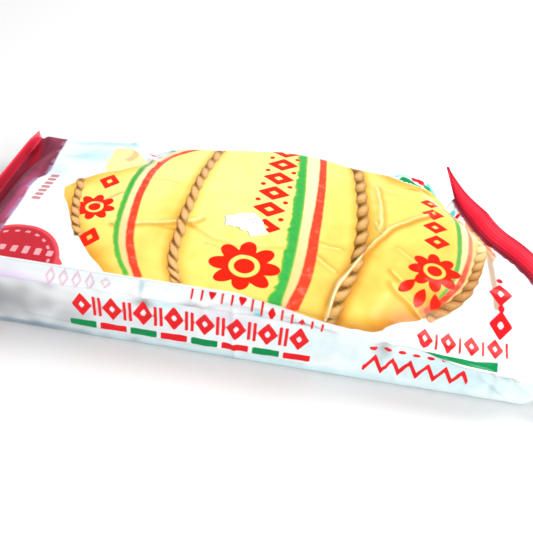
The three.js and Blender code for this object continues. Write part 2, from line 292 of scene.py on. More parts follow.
def front_point(x, k):
    """The front from its crest (k = 0) down to the middle of the wall (k = 1)."""
    flap = flap_share(x)
    crest_y = -HALF_DEPTH + CREST_BACK - CREST_TURN * smooth(-5, 30, x)
    crest_z = top_z(x, -HALF_DEPTH + 0 * x)
    crease_z = lerp(CREASE_Z, FLAP_Z, flap)
    crease_y = -HALF_DEPTH - CREASE_OUT - FLAP_OUT * flap
    even = smooth(20, 40, x)
    groove_y = lerp(crest_y + 1.1, (crest_y + crease_y) / 2, even)
    groove_z = lerp(crest_z - BAND_TOP_DROP, (crest_z + crease_z) / 2, even)
    tuck_y = lerp(crease_y, -HALF_DEPTH + TUCK_BACK, 0.55 + 0.45 * flap)
    stops = [
        (0.0, crest_y, crest_z),
        (BAND_PLACE, groove_y, groove_z),
        (CREASE_PLACE, crease_y, crease_z),
        (TUCK_PLACE, tuck_y, crease_z - 1),
        (1.0, -HALF_DEPTH + WALL_BULGE + 0 * x, np.minimum(WALL_MID_Z, crease_z - 3)),
    ]
    y, z = stops[0][1], stops[0][2]
    for (k0, y0, z0), (k1, y1, z1) in zip(stops[:-1], stops[1:]):
        share = np.clip((k - k0) / (k1 - k0), 0, 1)
        past = k >= k0
        y = np.where(past, lerp(y0, y1, share), y)
        z = np.where(past, lerp(z0, z1, share), z)
    return y, z


def block_point(x, across, upper):
    """Point (y, z) of the block's section at film line `across`, from -54 to 54."""
    side = np.sign(across)
    past = np.abs(across) - HALF_DEPTH
    k = np.clip(past / HALF_WALL, 0, 1)
    mid_y, mid_z = front_point(x, np.ones_like(x))
    far = side > 0
    mid_y = np.where(far, HALF_DEPTH + WALL_BULGE, mid_y)
    mid_z = np.where(far, WALL_MID_Z, mid_z)
    if upper:
        share = smooth(-HALF_DEPTH + CREST_BLEND, -HALF_DEPTH, across)
        crest_y = front_point(x, np.zeros_like(x))[0]
        face_y = across + (crest_y + HALF_DEPTH) * share
        face_z = top_z(x, np.clip(across, -HALF_DEPTH, HALF_DEPTH))
        edge_z = top_z(x, side * HALF_DEPTH)
    else:
        face_y = across
        on_face = np.clip(across, -HALF_DEPTH, HALF_DEPTH)
        face_z = edge_rounding(on_face, BOTTOM_EDGE_RADIUS, BOTTOM_EDGE_DROP)
        edge_z = BOTTOM_EDGE_DROP + 0 * x
    wall_y = lerp(side * HALF_DEPTH, mid_y, np.sqrt(k))
    wall_z = lerp(edge_z, mid_z, k)
    if upper:
        front_y, front_z = front_point(x, k)
        wall_y = np.where(far, wall_y, front_y)
        wall_z = np.where(far, wall_z, front_z)
    on_wall = past > 0
    return np.where(on_wall, wall_y, face_y), np.where(on_wall, wall_z, face_z)


def left_root(w):
    far = np.maximum(w, 0)
    y = w * HALF_SEAL - LEFT_END_LOSS * far**3
    return np.stack([LEFT_ROOT_X + 0 * w, y, SEAL_Z + LEFT_END_RISE * far**2], -1)


def right_line(v):
    far = np.maximum(v, 0)
    x = RIGHT_ROOT_X - EAR_PULL * smooth(-0.55, 1.05, v)
    y = RIGHT_SHIFT + HALF_SEAL * v - EAR_DEPTH_LOSS * far + EAR_FLARE * far**4
    for place, rise, width in SWELLS:
        y = y + rise * bell(v, place, width)
    return np.stack([x, y, SEAL_Z + EAR_RISE * far**2], -1)


def gathered(w):
    """Film near the far ear is gathered: its lines lie closer together along the seal."""
    return w - EAR_GATHER * smooth(0.45, 1, w)


def right_root(w):
    return right_line(gathered(w))


def unit(a):
    return a / np.linalg.norm(a, axis=-1, keepdims=True)


def left_fin(w):
    bend = smooth(0.6, 1, np.abs(w)) * np.sign(w)
    return FIN_WIDTH * unit(np.stack([0.3 + 0 * w, -0.75 * bend, 0.95 + 0 * w], -1))


def right_fin(w):
    """From the root to the cut edge; past the gathered film the seal runs on as a free horn."""
    step = 0.02
    v = gathered(w)
    along = right_line(v + step) - right_line(v - step)
    out = unit(np.stack([along[..., 1], -along[..., 0], 3 * step + 0 * w], -1))
    out[..., 2] += FIN_LIFT * smooth(-0.2, 0.2, v) * smooth(0.8, 0.5, v)
    blunt = HORN_OVERSHOOT * (1 - 0.075 * smooth(0.9, 1, w) - 0.025 * smooth(0.98, 1, w))
    horn = (np.array(HORN_TIP) - right_root(w)) * blunt[..., None]
    ahead = unit(horn)
    beside = np.stack([ahead[..., 1], -ahead[..., 0], 0 * w], -1)
    horn = horn + TIP_WIDTH * bell(w, 0.955, 0.03)[..., None] * beside
    place, share, run = HORN_WAIST
    waist = 1 - share * bell(w, place, run)
    return lerp(FIN_WIDTH * unit(out), horn, smooth(0.62, 1, w)[..., None]) * waist[..., None]


def skin_half(w):
    return (1 - np.abs(w) ** 8) * FIN_THICK / 2


def film_point(s, w, upper):
    left, right = left_root(w), right_root(w)
    x = lerp(left[..., 0], right[..., 0], s)
    near_wall = smooth(HALF_DEPTH - 6, HALF_SEAL, np.abs(w) * HALF_SEAL)
    left_run = lerp(LEFT_TOP_RUN if upper else BOTTOM_RUN, (LEFT_TOP_RUN + BOTTOM_RUN) / 2, near_wall)
    left_run = lerp(left_run, EAR_RUN, smooth(0.5, 0.8, w))
    wall_run = lerp((RIGHT_TOP_RUN + BOTTOM_RUN) / 2, EAR_RUN, smooth(0.4, 0.9, w))
    right_run = lerp(RIGHT_TOP_RUN if upper else BOTTOM_RUN, wall_run, near_wall)
    from_left, from_right = x - left[..., 0], right[..., 0] - x
    block = smooth(0, 1, from_left / left_run) * smooth(0, 1, from_right / right_run)
    end = np.where((s < 0.5)[..., None], left, right)
    y, z = block_point(x, w * HALF_SEAL, upper)
    skin = skin_half(w) * (1 if upper else -1)
    gusset = smooth(0, GUSSET_RUN / 2, from_right) * smooth(GUSSET_RUN, GUSSET_RUN / 2, from_right)
    gusset = gusset * smooth(0.55, 0.85, w)
    y = lerp(end[..., 1], y, block) - GUSSET_TUCK * gusset
    z = np.maximum(lerp(end[..., 2] + skin, z, block) - GUSSET_DEPTH * gusset, 0.0)
    return np.stack([x, y, z], -1)


def fin_point(root, direction, w, reach, upper):
    step = 0.02
    middle = root(w) + direction(w) * reach
    along = unit(root(w + step) - root(w - step))
    face = unit(np.cross(direction(w), along))
    side = -1 if root is left_root else 1
    return middle + face * (side * (1 if upper else -1) * skin_half(w))[..., None]


# ---- fine relief of the film, pushed out along its own normals ---------------------------------
# Dents of the front band and wall: (x, film line, depth, half length, half height).
DENTS = [
    (-47, -45.5, 0.5, 2.2, 1.6), (-36, -47, 0.4, 4.0, 1.2), (-30.8, -52, 0.9, 1.1, 5.0),
    (-22, -52, 0.5, 2.0, 3.0), (40, -54, 1.1, 1.6, 4.6), (45, -60, 0.5, 3.0, 3.0), (-71, -55, 0.4, 5, 5),
    (73.5, -60, 0.8, 1.2, 4.5), (76, -49, 0.9, 1.0, 4.5),
]
# Turned or lapped film: path, height of the raised side, how far back the raise runs out. The
# raised side lies to the left of the path's direction.
LAPS = [
    ([(-19.6, -46.5), (-16.8, -45.6), (-12.6, -46.3), (-6.7, -45.0), (-0.3, -44.9), (6.4, -45.2),
      (15.2, -45.8), (22.5, -47.7), (28, -49.2)], 0.55, 3.0),
    ([(36, -50.5), (40, -48.9), (44, -45.8), (50.3, -43.9), (55.8, -45.2), (62.8, -46.4), (72.7, -45.6),
      (80, -47.0), (88, -48.6)], 0.7, 4.0),
    ([(-70, -61), (-45, -63.2), (-20, -63.8), (2, -63.6), (20, -64.4)], 0.25, 2.5),
]
# Upright folds of the wall: path, height, half width.
WALL_FOLDS = [
    ([(-4.1, -46.4), (-3.5, -56.6), (-3.6, -61.2), (-2.4, -66.4)], 0.6, 0.7),
    ([(-30.6, -47), (-31.4, -43.5)], 0.45, 0.6),
    ([(69.4, -56), (78.7, -63.5)], 0.7, 0.6),
    ([(71.9, -46), (78.4, -55.7)], 0.8, 0.7),
    ([(76, -52), (86, -62)], 0.6, 0.7),
    ([(37, -51), (42.5, -60), (46, -64)], 0.5, 0.8),
    ([(-13, -47), (-12.2, -52)], 0.3, 0.6),
]
# Pleats that run from the seals into the block's film: height, and how far they rise and run on.
PLEAT_HEIGHT = 0.55
PLEAT_START = 1.5
PLEAT_RUN = 11


def lap_relief(x, line):
    """Raised lips of lapped film, and the strength of the shade under them."""
    z, shade = 0.0, 0.0
    for points, rise, run in LAPS:
        gap, along, side = path_distance(x, line, spline(points, 4))
        inside = smooth(0, 3, along) * smooth(0, 3, along.max() - along)
        step = np.where(side > 0, np.exp(-gap / run), np.exp(-gap / 0.35))
        z = z + rise * inside * step
        shade = shade + rise * inside * np.where(side > 0, np.exp(-gap / 0.3), np.exp(-gap / 1.1))
    return z, shade


def pleat_relief(x, line, from_end):
    """Pleats along the film by the seals, low where the film lies smooth at the far left."""
    reach = np.maximum(from_end, 0)
    fold = waves(x * 0.15, line, 11, 5.0, 5) + 0.6 * waves(x * 0.1, line, 12, 2.6, 5)
    calm = smooth(60, 70, -x) * smooth(-20, 10, line)
    held = 1 - 0.9 * np.exp(-reach / PLEAT_START)
    return (PLEAT_HEIGHT - 0.42 * calm) * np.exp(-reach / PLEAT_RUN) * held * fold


def wall_cockle(x, line):
    """Uneven film of the walls, smoother at the front's left end."""
    front = smooth(-40, -43, line) * smooth(-70, -64, line)
    front_waves = 0.14 * waves(x, line * 2, 21, 9) + 0.06 * waves(x, line, 22, 3.5)
    far = smooth(40, 44, line) * smooth(70, 64, line)
    far_waves = 0.2 * waves(x, line, 23, 11) + 0.1 * waves(x, line, 24, 4.5)
    return front * front_waves * lerp(0.3, 1.0, smooth(-52, -36, x)) + far * far_waves


def dent_relief(x, line):
    z = 0.0
    for dx, dl, depth, hx, hl in DENTS:
        z = z - depth * np.exp(-(((x - dx) / hx) ** 2) - ((line - dl) / hl) ** 2)
    for points, rise, width in WALL_FOLDS:
        gap = path_distance(x, line, spline(points, 3))[0]
        z = z + rise * np.exp(-((gap / width) ** 1.4))
    return z


def film_relief(x, line, from_end):
    """Height in mm at (x, film line), where from_end is the distance to the nearer seal."""
    soft = 0.10 * waves(x, line, 3, 17) + 0.05 * waves(x, line, 5, 6)
    raised = pleat_relief(x, line, from_end)
    return soft + raised + wall_cockle(x, line) + dent_relief(x, line) + lap_relief(x, line)[0]


# ---- the film's mesh ---------------------------------------------------------------------------
def make_piece(name, points, faces):
    """A smooth-shaded mesh object from points in millimetres."""
    mesh = bpy.data.meshes.new(name)
    mesh.from_pydata((points * MM).tolist(), [], faces)
    mesh.shade_smooth()
    piece = bpy.data.objects.new(name, mesh)
    bpy.context.collection.objects.link(piece)
    return piece


def write_layer(piece, name, values):
    """Keep one number or three at every point, for the materials to read."""
    kind, key = ("FLOAT", "value") if values.ndim == 1 else ("FLOAT_VECTOR", "vector")
    layer = piece.data.attributes.new(name, kind, "POINT")
    layer.data.foreach_set(key, values.astype(np.float32).ravel())


def upper_lines():
    front = np.linspace(-1, -WALL_SHARE, FRONT_STEPS + 1)
    top = np.linspace(-WALL_SHARE, WALL_SHARE, TOP_STEPS + 1)[1:]
    far = np.linspace(WALL_SHARE, 1, FAR_STEPS + 1)[1:]
    return np.concatenate([front, top, far])


def lower_lines():
    far = np.linspace(1, WALL_SHARE, UNDER_FAR_STEPS + 1)[1:]
    under = np.linspace(WALL_SHARE, -WALL_SHARE, UNDER_STEPS + 1)[1:]
    front = np.linspace(-WALL_SHARE, -1, UNDER_FRONT_STEPS + 1)[1:-1]
    return np.concatenate([far, under, front])


def stations():
    """Places along the film, 0 to 1, closer together at the ends and over the deep creases."""
    even = np.linspace(0, 1, 2001)
    ends = 0.6 * smooth(0.12, 0.0, np.minimum(even, 1 - even))
    total = np.cumsum(1 + ends + FINE_GAIN * bell(even, FINE_PLACE, FINE_RUN))
    total = (total - total[0]) / (total[-1] - total[0])
    return np.interp(np.linspace(0, 1, STATIONS + 1), total, even)


def fin_rings(root, direction, up, low, reaches):
    """Rings of a seal's fin, each `reach` (0 to 1) of the way from the root to the cut edge."""
    rings = []
    for reach in reaches:
        over = fin_point(root, direction, up, reach, True)
        rings.append(np.vstack([over, fin_point(root, direction, low, reach, False)]))
    return rings


def film_grid():
    """Points of every ring, with each point's station x, film line and distance to a seal."""
    up, low = upper_lines(), lower_lines()
    w = np.concatenate([up, low])
    over = film_point(*np.meshgrid(stations(), up, indexing="ij"), True)
    under = film_point(*np.meshgrid(stations(), low, indexing="ij"), False)
    body = np.concatenate([over, under], 1)
    reaches = np.arange(1, FIN_STEPS + 1) / FIN_STEPS
    points = np.concatenate([
        fin_rings(left_root, left_fin, up, low, reaches[::-1]),
        body,
        fin_rings(right_root, right_fin, up, low, reaches),
    ])
    turned = np.where(low >= 0, SEAL_WIDTH, -SEAL_WIDTH) - low * HALF_SEAL
    line = np.tile(np.concatenate([up * HALF_SEAL, turned]), (len(points), 1))
    left_x, right_x = left_root(w)[:, 0], right_root(w)[:, 0]
    past = FIN_WIDTH * reaches[:, None]
    x = np.concatenate([left_x - past[::-1], body[..., 0], right_x + past])
    from_end = np.minimum(x - left_x, right_x - x)
    return points, x, line, from_end, len(up)


def grid_normals(points):
    along = np.gradient(points, axis=0)
    around = np.roll(points, -1, 1) - np.roll(points, 1, 1)
    normal = np.cross(along, around)
    return normal / np.maximum(np.linalg.norm(normal, axis=-1, keepdims=True), 1e-9)


def zip_cap(first, upper_count, size, flip):
    """Triangles that close a seal's cut edge between its upper and its lower film."""
    up, low = upper_lines(), lower_lines()
    top = list(range(first, first + upper_count))
    bottom = [first] + [first + size - 1 - i for i in range(size - upper_count)] + [top[-1]]
    low_w = np.concatenate([[-1.0], low[::-1], [1.0]])
    faces, i, j = [], 0, 0
    while i < upper_count - 1 or j < len(bottom) - 1:
        step_up = j >= len(bottom) - 1 or (i < upper_count - 1 and up[i + 1] <= low_w[j + 1])
        if step_up:
            tri = (top[i], top[i + 1], bottom[j])
            i += 1
        else:
            tri = (top[i], bottom[j + 1], bottom[j])
            j += 1
        if len(set(tri)) == 3:
            faces.append(tri[::-1] if flip else tri)
    return faces


def make_film():
    """The film's object, and at every point its station x, film line and distance to a seal."""
    points, x, line, from_end, upper_count = film_grid()
    on_fin = smooth(0.5, -0.5, from_end)
    under = smooth(66, 68, np.abs(line))
    height = film_relief(x, line, from_end) * (1 - on_fin) * (1 - under)
    across = np.abs(line) / HALF_SEAL
    off_edge = smooth(0.985, 0.9, across) + smooth(1.015, 1.1, across)
    near_seal = smooth(6, 0, from_end)
    height = height * lerp(1.0, np.clip(off_edge, 0, 1), near_seal)
    points = points + grid_normals(points) * height[..., None]
    points = np.clip(points, np.array(cad_low) / MM, np.array(cad_high) / MM)
    count, size = line.shape
    index = np.arange(count * size).reshape(count, size)
    a, d = index[:-1], index[1:]
    quads = np.stack([a, d, np.roll(d, -1, 1), np.roll(a, -1, 1)], -1).reshape(-1, 4).tolist()
    caps = zip_cap(0, upper_count, size, False)
    caps += zip_cap((count - 1) * size, upper_count, size, True)
    piece = make_piece("film", points.reshape(-1, 3), quads + caps)
    return piece, x.ravel(), line.ravel(), from_end.ravel()


# ---- the print ---------------------------------------------------------------------------------
# The front edge of the top picture: the wall's own white film begins here.
PICTURE_FRONT = [
    (-110, -40.4), (-4, -40.4), (2, -41.0), (8, -42.8), (15, -43.7), (22, -44.7), (30, -45.2),
]
# The cheese's outline: its left side, the front that the fold hides, and round to the right.
CHEESE_NEAR = [
    (-65.9, -8.6), (-62.9, -13.2), (-60.1, -18.7), (-58.0, -22.6), (-55.0, -26.2), (-50.4, -31.8),
    (-45.9, -36.9), (-42.9, -40.4), (-36, -48), (-20, -56), (4, -58), (22, -51), (30, -45.0),
    (34.2, -43.9), (38.9, -40.6), (43.1, -38.2), (49.2, -35.6), (54.2, -31.8), (58.2, -28.8),
    (62.2, -25.0), (65.2, -20.6), (67.4, -15.6), (69.0, -10.0), (70.4, -4.0), (70.8, 3.0),
]
CHEESE_FAR = [
    (70.6, 10), (70.2, 20), (69.3, 28.9), (66.6, 30.6), (64.2, 32.6), (61.5, 35.9), (58.4, 37.4),
    (53.2, 33.9), (49.2, 33.2), (45.4, 33.7), (41.8, 35.6), (37, 40), (30, 44.5), (12, 46.5),
    (-12, 46), (-28, 43.5), (-38, 38), (-43.5, 30), (-47, 22), (-50.2, 16), (-53.6, 10.6),
    (-57.4, 7.8), (-61.1, 4.6), (-64.6, 0.9),
]
CHEESE_TIP = [(-67.6, -3.7)]
# Ropes: path, half width, length of a twist at the far and the near end, slant of the twist, tone
# (0 pale to 1 dark), and the depth of the shade on the rind to their left and right.
ROPES = [
    ([(-63.9, 1.4), (-63.0, -1.6), (-62.4, -5.0), (-61.1, -10.6), (-59.6, -15.6), (-57.8, -20.2),
      (-55.2, -25.4)], 1.3, 5.2, 4.4, -0.9, 0.45, 0.7, 0.3),
    ([(-22.6, 46), (-23.7, 37), (-24.6, 28), (-25.2, 18.5), (-25.5, 10), (-25.7, 2), (-25.8, -5.8),
      (-26.1, -11), (-25.5, -17.3), (-25.5, -23.1), (-24.9, -29), (-23.6, -34), (-21.0, -41.5)],
     1.6, 9.0, 4.0, -1.45, 0.42, 1.3, 0.8),
    ([(26.2, 46), (27.6, 38), (28.9, 30), (29.6, 18), (30.3, 8), (30.5, -1.9), (30.2, -10.8),
      (29.7, -17.5), (28.6, -23.5), (27.0, -29), (25.6, -33.8), (24.2, -38.9), (22.9, -44.4)],
     1.95, 9.6, 5.4, 0.9, 0.62, 0.9, 1.3),
    ([(70.6, 9), (70.0, 2.7), (67.8, -7.5), (66.0, -14.9), (64.1, -20.7), (62.0, -24.8), (59.7, -27.4),
      (56.8, -30.2), (54.0, -32.5), (52.0, -33.8)], 1.5, 4.9, 4.6, 0.95, 0.8, 0.5, 0.0),
]
# Stripes: path, and half width at the far and the near end.
GREEN_STRIPES = [
    ([(-34, 44), (-41, 36), (-45.6, 28), (-46.9, 20), (-46.9, 10), (-47.0, 3.7), (-46.6, -4),
      (-45.9, -11.6), (-44.9, -19), (-43.4, -25.4), (-40.7, -31.9), (-36.0, -40.6)], 1.2, 0.85),
    ([(6.8, 47), (7.5, 36.4), (8.2, 24.1), (8.9, 12), (9.2, 0), (9.2, -12), (9.1, -21), (8.6, -30),
      (7.9, -37), (7.2, -43.5)], 1.75, 1.9),
    ([(57.5, 26), (61.2, 17), (62.0, 8), (61.9, -0.6), (61.1, -8.6), (60.1, -14.7), (58.1, -21.4),
      (55.7, -25.9), (53.2, -29.6)], 0.95, 0.7),
]
RED_STRIPES = [
    ([(-27, 44), (-35.5, 36), (-41.0, 27), (-42.4, 16), (-42.7, 5), (-42.6, -4), (-41.9, -10.5),
      (-40.9, -17.5), (-39.2, -25), (-36.4, -32), (-32.4, -41)], 1.15, 1.25),
    ([(14.4, 47), (15.1, 36), (15.7, 24), (15.9, 12), (15.9, 0), (15.7, -10), (15.6, -20), (15.0, -29),
      (13.6, -37), (11.6, -43.6)], 1.3, 1.75),
    ([(63.0, 23), (65.1, 12), (65.5, 2), (64.8, -6.2), (63.3, -12.9), (60.9, -20.6), (58.6, -24.2),
      (56.0, -27.4), (53.9, -29.7), (50.8, -32.3)], 0.3, 0.95),
]
CREAM_SPANS = list(zip(GREEN_STRIPES, RED_STRIPES)) + [(RED_STRIPES[2], ROPES[3])]
# Where the film turns maroon at the left end, and how near a fin's root it takes the fin's red.
SEAL_EDGE_LEFT = [
    (-86, 60), (-83.3, 36.8), (-79.9, 22.6), (-76.9, 11.5), (-75.8, 5.4), (-76.3, 2.1),
    (-78.1, -0.1), (-78.7, -5.2), (-78.1, -13.1), (-78, -60),
]
FIN_RED_REACH = 0.9
RIB_PITCH = 1.4
RIB_HEIGHT = 0.1
# The round badge (x, film line, radius) and the point that runs out of it.
BADGE = (-71.5, -39.5, 14.8)
BADGE_TAIL = [(-61, -34), (-56.6, -37.6), (-54.8, -40.6), (-57, -43.5), (-62, -44)]
# Pale yellow film beyond the cheese's left end, with a piece of rope, and pale orange film beyond
# its right side.
LEFT_PATCH = [
    (-61.8, 31.4), (-55.6, 32.6), (-53.0, 31.0), (-46.4, 22.6), (-48.0, 15.0), (-52.0, 8.0),
    (-56.6, 6.8), (-58.8, 11.6),
]
PATCH_ROPE = ([(-54.4, 33), (-53.2, 27), (-53.6, 21)], 1.2)
RIGHT_PATCH = [
    (70.0, 31), (73.4, 31), (77.0, 22.3), (79.8, 13.4), (78.0, 4.5), (74.6, -3.0), (71.4, -9.5),
    (70.0, -4), (70.6, 2), (70.2, 10),
]
# Loose rope ends right of the cheese: path, half width.
TAILS = [
    ([(72.6, 9.0), (71.6, 2.0), (70.8, -7.2), (70.8, -13.8), (71.0, -20.3), (71.5, -26.5)], 1.0),
    ([(63.2, 32.4), (66.4, 34.0), (68.8, 34.4), (71.0, 30.4), (72.4, 25.0)], 0.45),
]
# The lip is coloured as a painted highlight, with painted shade at its edges.
# The lip of the deep crease where it crosses a rope. The fold hides the rope beside it, over this
# width and from this film line on towards the front.
LIP = [
    (32.6, -13.4), (29.6, -19.6), (26.9, -25.7), (24.6, -31.0), (23.2, -37.0), (22.5, -42.0),
    (22.1, -45.2),
]
LIP_HALF = 0.5
UNDER_FOLD_WIDTH = 5
UNDER_FOLD_START = -21

# Soft spots on the film: (x, film line, half length, half height, amount). Bits of the picture's
# turned-over print on the crumpled corner and beyond the cheese's left end, with ragged edges:
GREEN_BITS = [
    (46.3, 34.9, 2.6, 1.5, 1.7), (49.4, 33.7, 2.2, 1.1, 1.5), (54.4, 35.4, 2.0, 1.1, 1.7),
    (57.5, 36.5, 1.4, 1.2, 1.0), (62.4, 33.4, 1.6, 1.5, 1.4), (-41.7, 35.8, 1.6, 0.8, 1.3),
    (64.2, 48.6, 1.4, 1.1, 1.5), (63.2, 31.6, 1.6, 1.2, 1.4),
]
RED_BITS = [
    (49.6, 36.8, 2.2, 1.2, 1.4), (51.8, 36.2, 1.6, 1.3, 1.3), (67.6, 43.2, 1.0, 1.8, 1.8),
    (-48.4, 34.6, 2.8, 0.7, 1.2), (-45.2, 31.2, 1.0, 1.4, 1.2), (-36.4, 34.6, 1.1, 0.6, 1.3),
    (72.6, 34.0, 0.8, 3.0, 0.9),
]
# Cyan gleams along the folds of the white film:
GLEAMS = [
    (42.6, 37.1, 2.8, 0.6, 0.8), (46.2, 37.4, 2.2, 0.5, 0.8), (55.8, 36.6, 1.7, 2.2, 3.0),
    (57.0, 38.4, 1.4, 1.6, 3.0), (65.2, 48.0, 1.2, 1.6, 3.0), (-41.2, 32.2, 0.9, 0.8, 1.0),
    (60.2, 34.0, 1.2, 1.2, 1.0), (64.4, 49.4, 1.3, 0.9, 1.2), (3.0, -46.2, 1.8, 0.7, 0.8),
    (-70.0, 20.0, 8.5, 7.0, 0.46), (-66.0, 37.0, 16.0, 1.6, 0.46),
]
# Deeper yellow of the rind; the two spots of amount 1.0 are painted shade under the crease left of the
# middle:
AMBER_AND_SHADE = [
    (-31, -10, 3.6, 18, 0.42), (-35, -30, 4.5, 10, 0.3), (23, 12, 4, 22, 0.16),
    (35, -12, 3, 16, 0.3), (45, -38, 10, 5, 0.24), (64, 22, 5, 9, 0.25),
    (-29.6, -17.2, 3.4, 0.8, 1.0), (-22.2, -14.6, 2.2, 0.7, 1.0), (48.5, 29.3, 3.6, 0.8, 0.9),
    (53.6, 31.7, 2.2, 0.8, 0.9), (8, -40, 22, 3, 0.08), (-50, -33, 6, 6, 0.4),
    (53, -12, 14, 5, 0.2), (-57, 2, 4, 6, 0.3), (44, 20, 12, 10, 0.1), (58, -2, 4, 16, 0.3),
    (52, -28, 8, 6, 0.3),
]
# Dark streaks along the wall's foot, and lighter places of the left seal's maroon:
NAVY = [(-68, -66.3, 24, 1.1, 0.95), (40, -67.0, 60, 0.7, 0.15), (-20, -66.6, 30, 0.7, 0.3)]
EMBER = [(-94.6, 34, 1.8, 6.5, 0.9)]
BLUSH = [(-79.9, -7, 1.8, 7, 0.9), (-82.3, -1.5, 2.4, 4, 0.6), (-80, -16, 2.0, 8, 0.7)]
# Painted shade and a lilac tint of the white film, with three amounts: grey (painted shade and shadow),
# cyan (painted cyan shade), lilac.
TINTS_AND_SHADE = [
    (-80, -57, 24, 9, 0.95, 0.0, 0.0), (-54, -60, 9, 6, 0.6, 0.1, 0.0),
    (-74, -46.4, 15, 1.5, 0.1, 0.0, 0.9), (-82, -43, 10, 2.5, 0.0, 0.0, 0.5),
    (-31.1, -49.8, 2.6, 2.4, 0.9, 0.0, 0.0), (-31.2, -44.2, 0.7, 1.5, 6.0, 1.0, 0.0),
    (-16.2, -46.9, 3.4, 0.7, 2.2, 0.0, 0.0), (17.5, -47.0, 4.5, 0.7, 2.2, 0.0, 0.0),
    (-38, -58, 24, 7, 0.22, 0.1, 0.1), (-5, -51, 14, 4, 0.25, 0.1, 0.25),
    (22, -55, 18, 7, 0.12, 0.45, 0.0), (60, -58, 30, 8, 0.1, 0.75, 0.0),
    (40, -53, 3, 3.5, 0.6, 0.1, 0.0), (76, -50, 1.2, 4.5, 0.9, 0.2, 0.1),
    (0, -66, 90, 2.0, 0.0, 0.75, 0.0), (-66, 22, 9, 9, 0.05, 0.85, 0.0),
    (-58, 36, 26, 2.2, 0.1, 1.0, 0.0), (46, 37.5, 5, 2.4, 0.0, 0.9, 0.0),
    (-73, 5, 4, 5, 0.1, 0.7, 0.3), (3, -46.2, 2.4, 1.0, 0.0, 1.0, 0.0),
    (84, -8, 6, 16, 0.1, 0.3, 0.3), (62, -47.5, 16, 1.2, 0.35, 0.4, 0.0),
    (2, -47.0, 18, 1.0, 0.45, 0.0, 0.1), (-24, -49, 5, 2, 0.1, 0.8, 0.0),
    (54.2, 38.6, 2.6, 1.4, 0.0, 0.0, 0.9), (48.2, 35.9, 1.8, 1.0, 0.2, 0.0, 0.5),
    (70.6, 36, 2.4, 6, 0.0, 0.0, 0.5),
]

# Ornaments. Rows for discs and rosettes are (x, film line, radius), for lozenges and bars
# (x, film line, half length, half height), for leaves (x, film line, turn).
PETALS = 8
ROSETTES = [(-3.5, -28.5, 10.8), (-54.6, -12.0, 6.6), (53.0, -18.0, 8.0)]
LEAVES = [(44.6, -25.6, 0.85), (48.6, -29.0, 1.2), (53.4, -30.2, 1.65)]
LEAF_LENGTH = 7.6
LEAF_HALF = 1.7
MIDDLE_COLUMN = [(-0.5 + 0.35 * i, -9.5 + 9.6 * i, 5.6, 4.3) for i in range(6)]
MIDDLE_DOTS = [
    (-0.3 + 0.35 * i + shift, -4.7 + 9.6 * i, 0.95) for i in range(5) for shift in (-4.6, 4.6)
]
RIGHT_COLUMN = [(54.4 - 0.2 * i, -3.8 + 7.9 * i, 4.4 - 0.2 * i, 3.6) for i in range(4)]
LEFT_PAIR = [(-54.4, 2.6, 3.6, 4.6), (-51.2, -26.4, 3.3, 4.8)]
# The running border of the walls and the zigzag at its right. Here the second number of a row is
# the distance down the wall.
BORDER_PITCH = 9.4
BORDER_PLACES = [-50.0 + BORDER_PITCH * i for i in range(8)]
BORDER_LOZENGES = [(x, 13.2, 3.1, 4.9) for x in BORDER_PLACES]
BORDER_BARS = [
    (x + BORDER_PITCH / 2 + shift, 13.2, 0.5, 4.0)
    for x in BORDER_PLACES[:-1] for shift in (-0.85, 0.85)
]
BORDER_DASHES = [(x, 21.0, 4.1, 1.35) for x in BORDER_PLACES]
ZIGZAG_START = 36
ZIGZAG_PITCH = 5.2
ZIGZAG_HALF = 2.6
ZIGZAG_SPAN = (51.2, 18.4, 15.6, 5.0)
ZIGZAG_DOTS = [(37.5 + 4.2 * i, 11.4, 1.15) for i in range(7)]
# Strokes with a lozenge at every third place, this far under the picture's front edge.
BAND_PLACES = [-16.6 + 2.95 * i for i in range(14)]
BAND_DROP = 2.8
# White film at the right: a column, and a row over a green wedge.
END_COLUMN = [(72.6, -22.5, 3.6, 3.8), (73.0, -31.0, 3.6, 3.8)]
END_DOTS = [(72.8, -17.2, 1.0), (72.9, -26.8, 1.0)]
END_ROW = [(50.6 + 7.0 * i, -39.8 + 0.91 * i) for i in range(4)]
END_WEDGE = [
    (50.6, -44.6), (52.4, -43.2), (62, -41.5), (72.6, -40.1), (72.6, -43.6), (62, -45.0),
    (55, -45.6),
]
# Faint marks: open lozenges on the band, and a row of bars near the left seal.
FAINT_LOZENGES = [(-58.4 + 3.9 * i, -44.9, 1.8, 2.3) for i in range(4)]
FAINT_WIDE = (-42.0, -44.6, 2.0, 1.5)
FAINT_BARS = [(-74.2 + 0.18 * i, -11.1 + 2.2 * i, 1.4, 0.75) for i in range(7)]
# Value of a field where nothing of it is near.
NOWHERE = -9.0


def blots(x, line, spots):
    """The strongest of several soft spots at each place."""
    loose = 1 + 0.35 * waves(x, line, 62, 6)
    best = np.zeros(np.shape(x))
    for cx, cl, hx, hl, amount in spots:
        out = ((x - cx) / hx) ** 2 + ((line - cl) / hl) ** 2
        best = np.maximum(best, amount * np.exp(-out * loose))
    return best


def inside_by(x, v, outline):
    """Distance into a closed outline, in mm; below zero outside it."""
    closed = np.vstack([outline, outline[:1]])
    gap = path_distance(x, v, closed)[0]
    inside = np.zeros(np.shape(x), bool)
    for (ax, ay), (bx, by) in zip(closed[:-1], closed[1:]):
        spans = (ay > v) != (by > v)
        if ay != by:
            inside ^= spans & (x < (bx - ax) * (v - ay) / (by - ay) + ax)
    return np.where(inside, gap, -gap)


def line_by(x, v, path, half):
    return half - path_distance(x, v, spline(path, 5))[0]


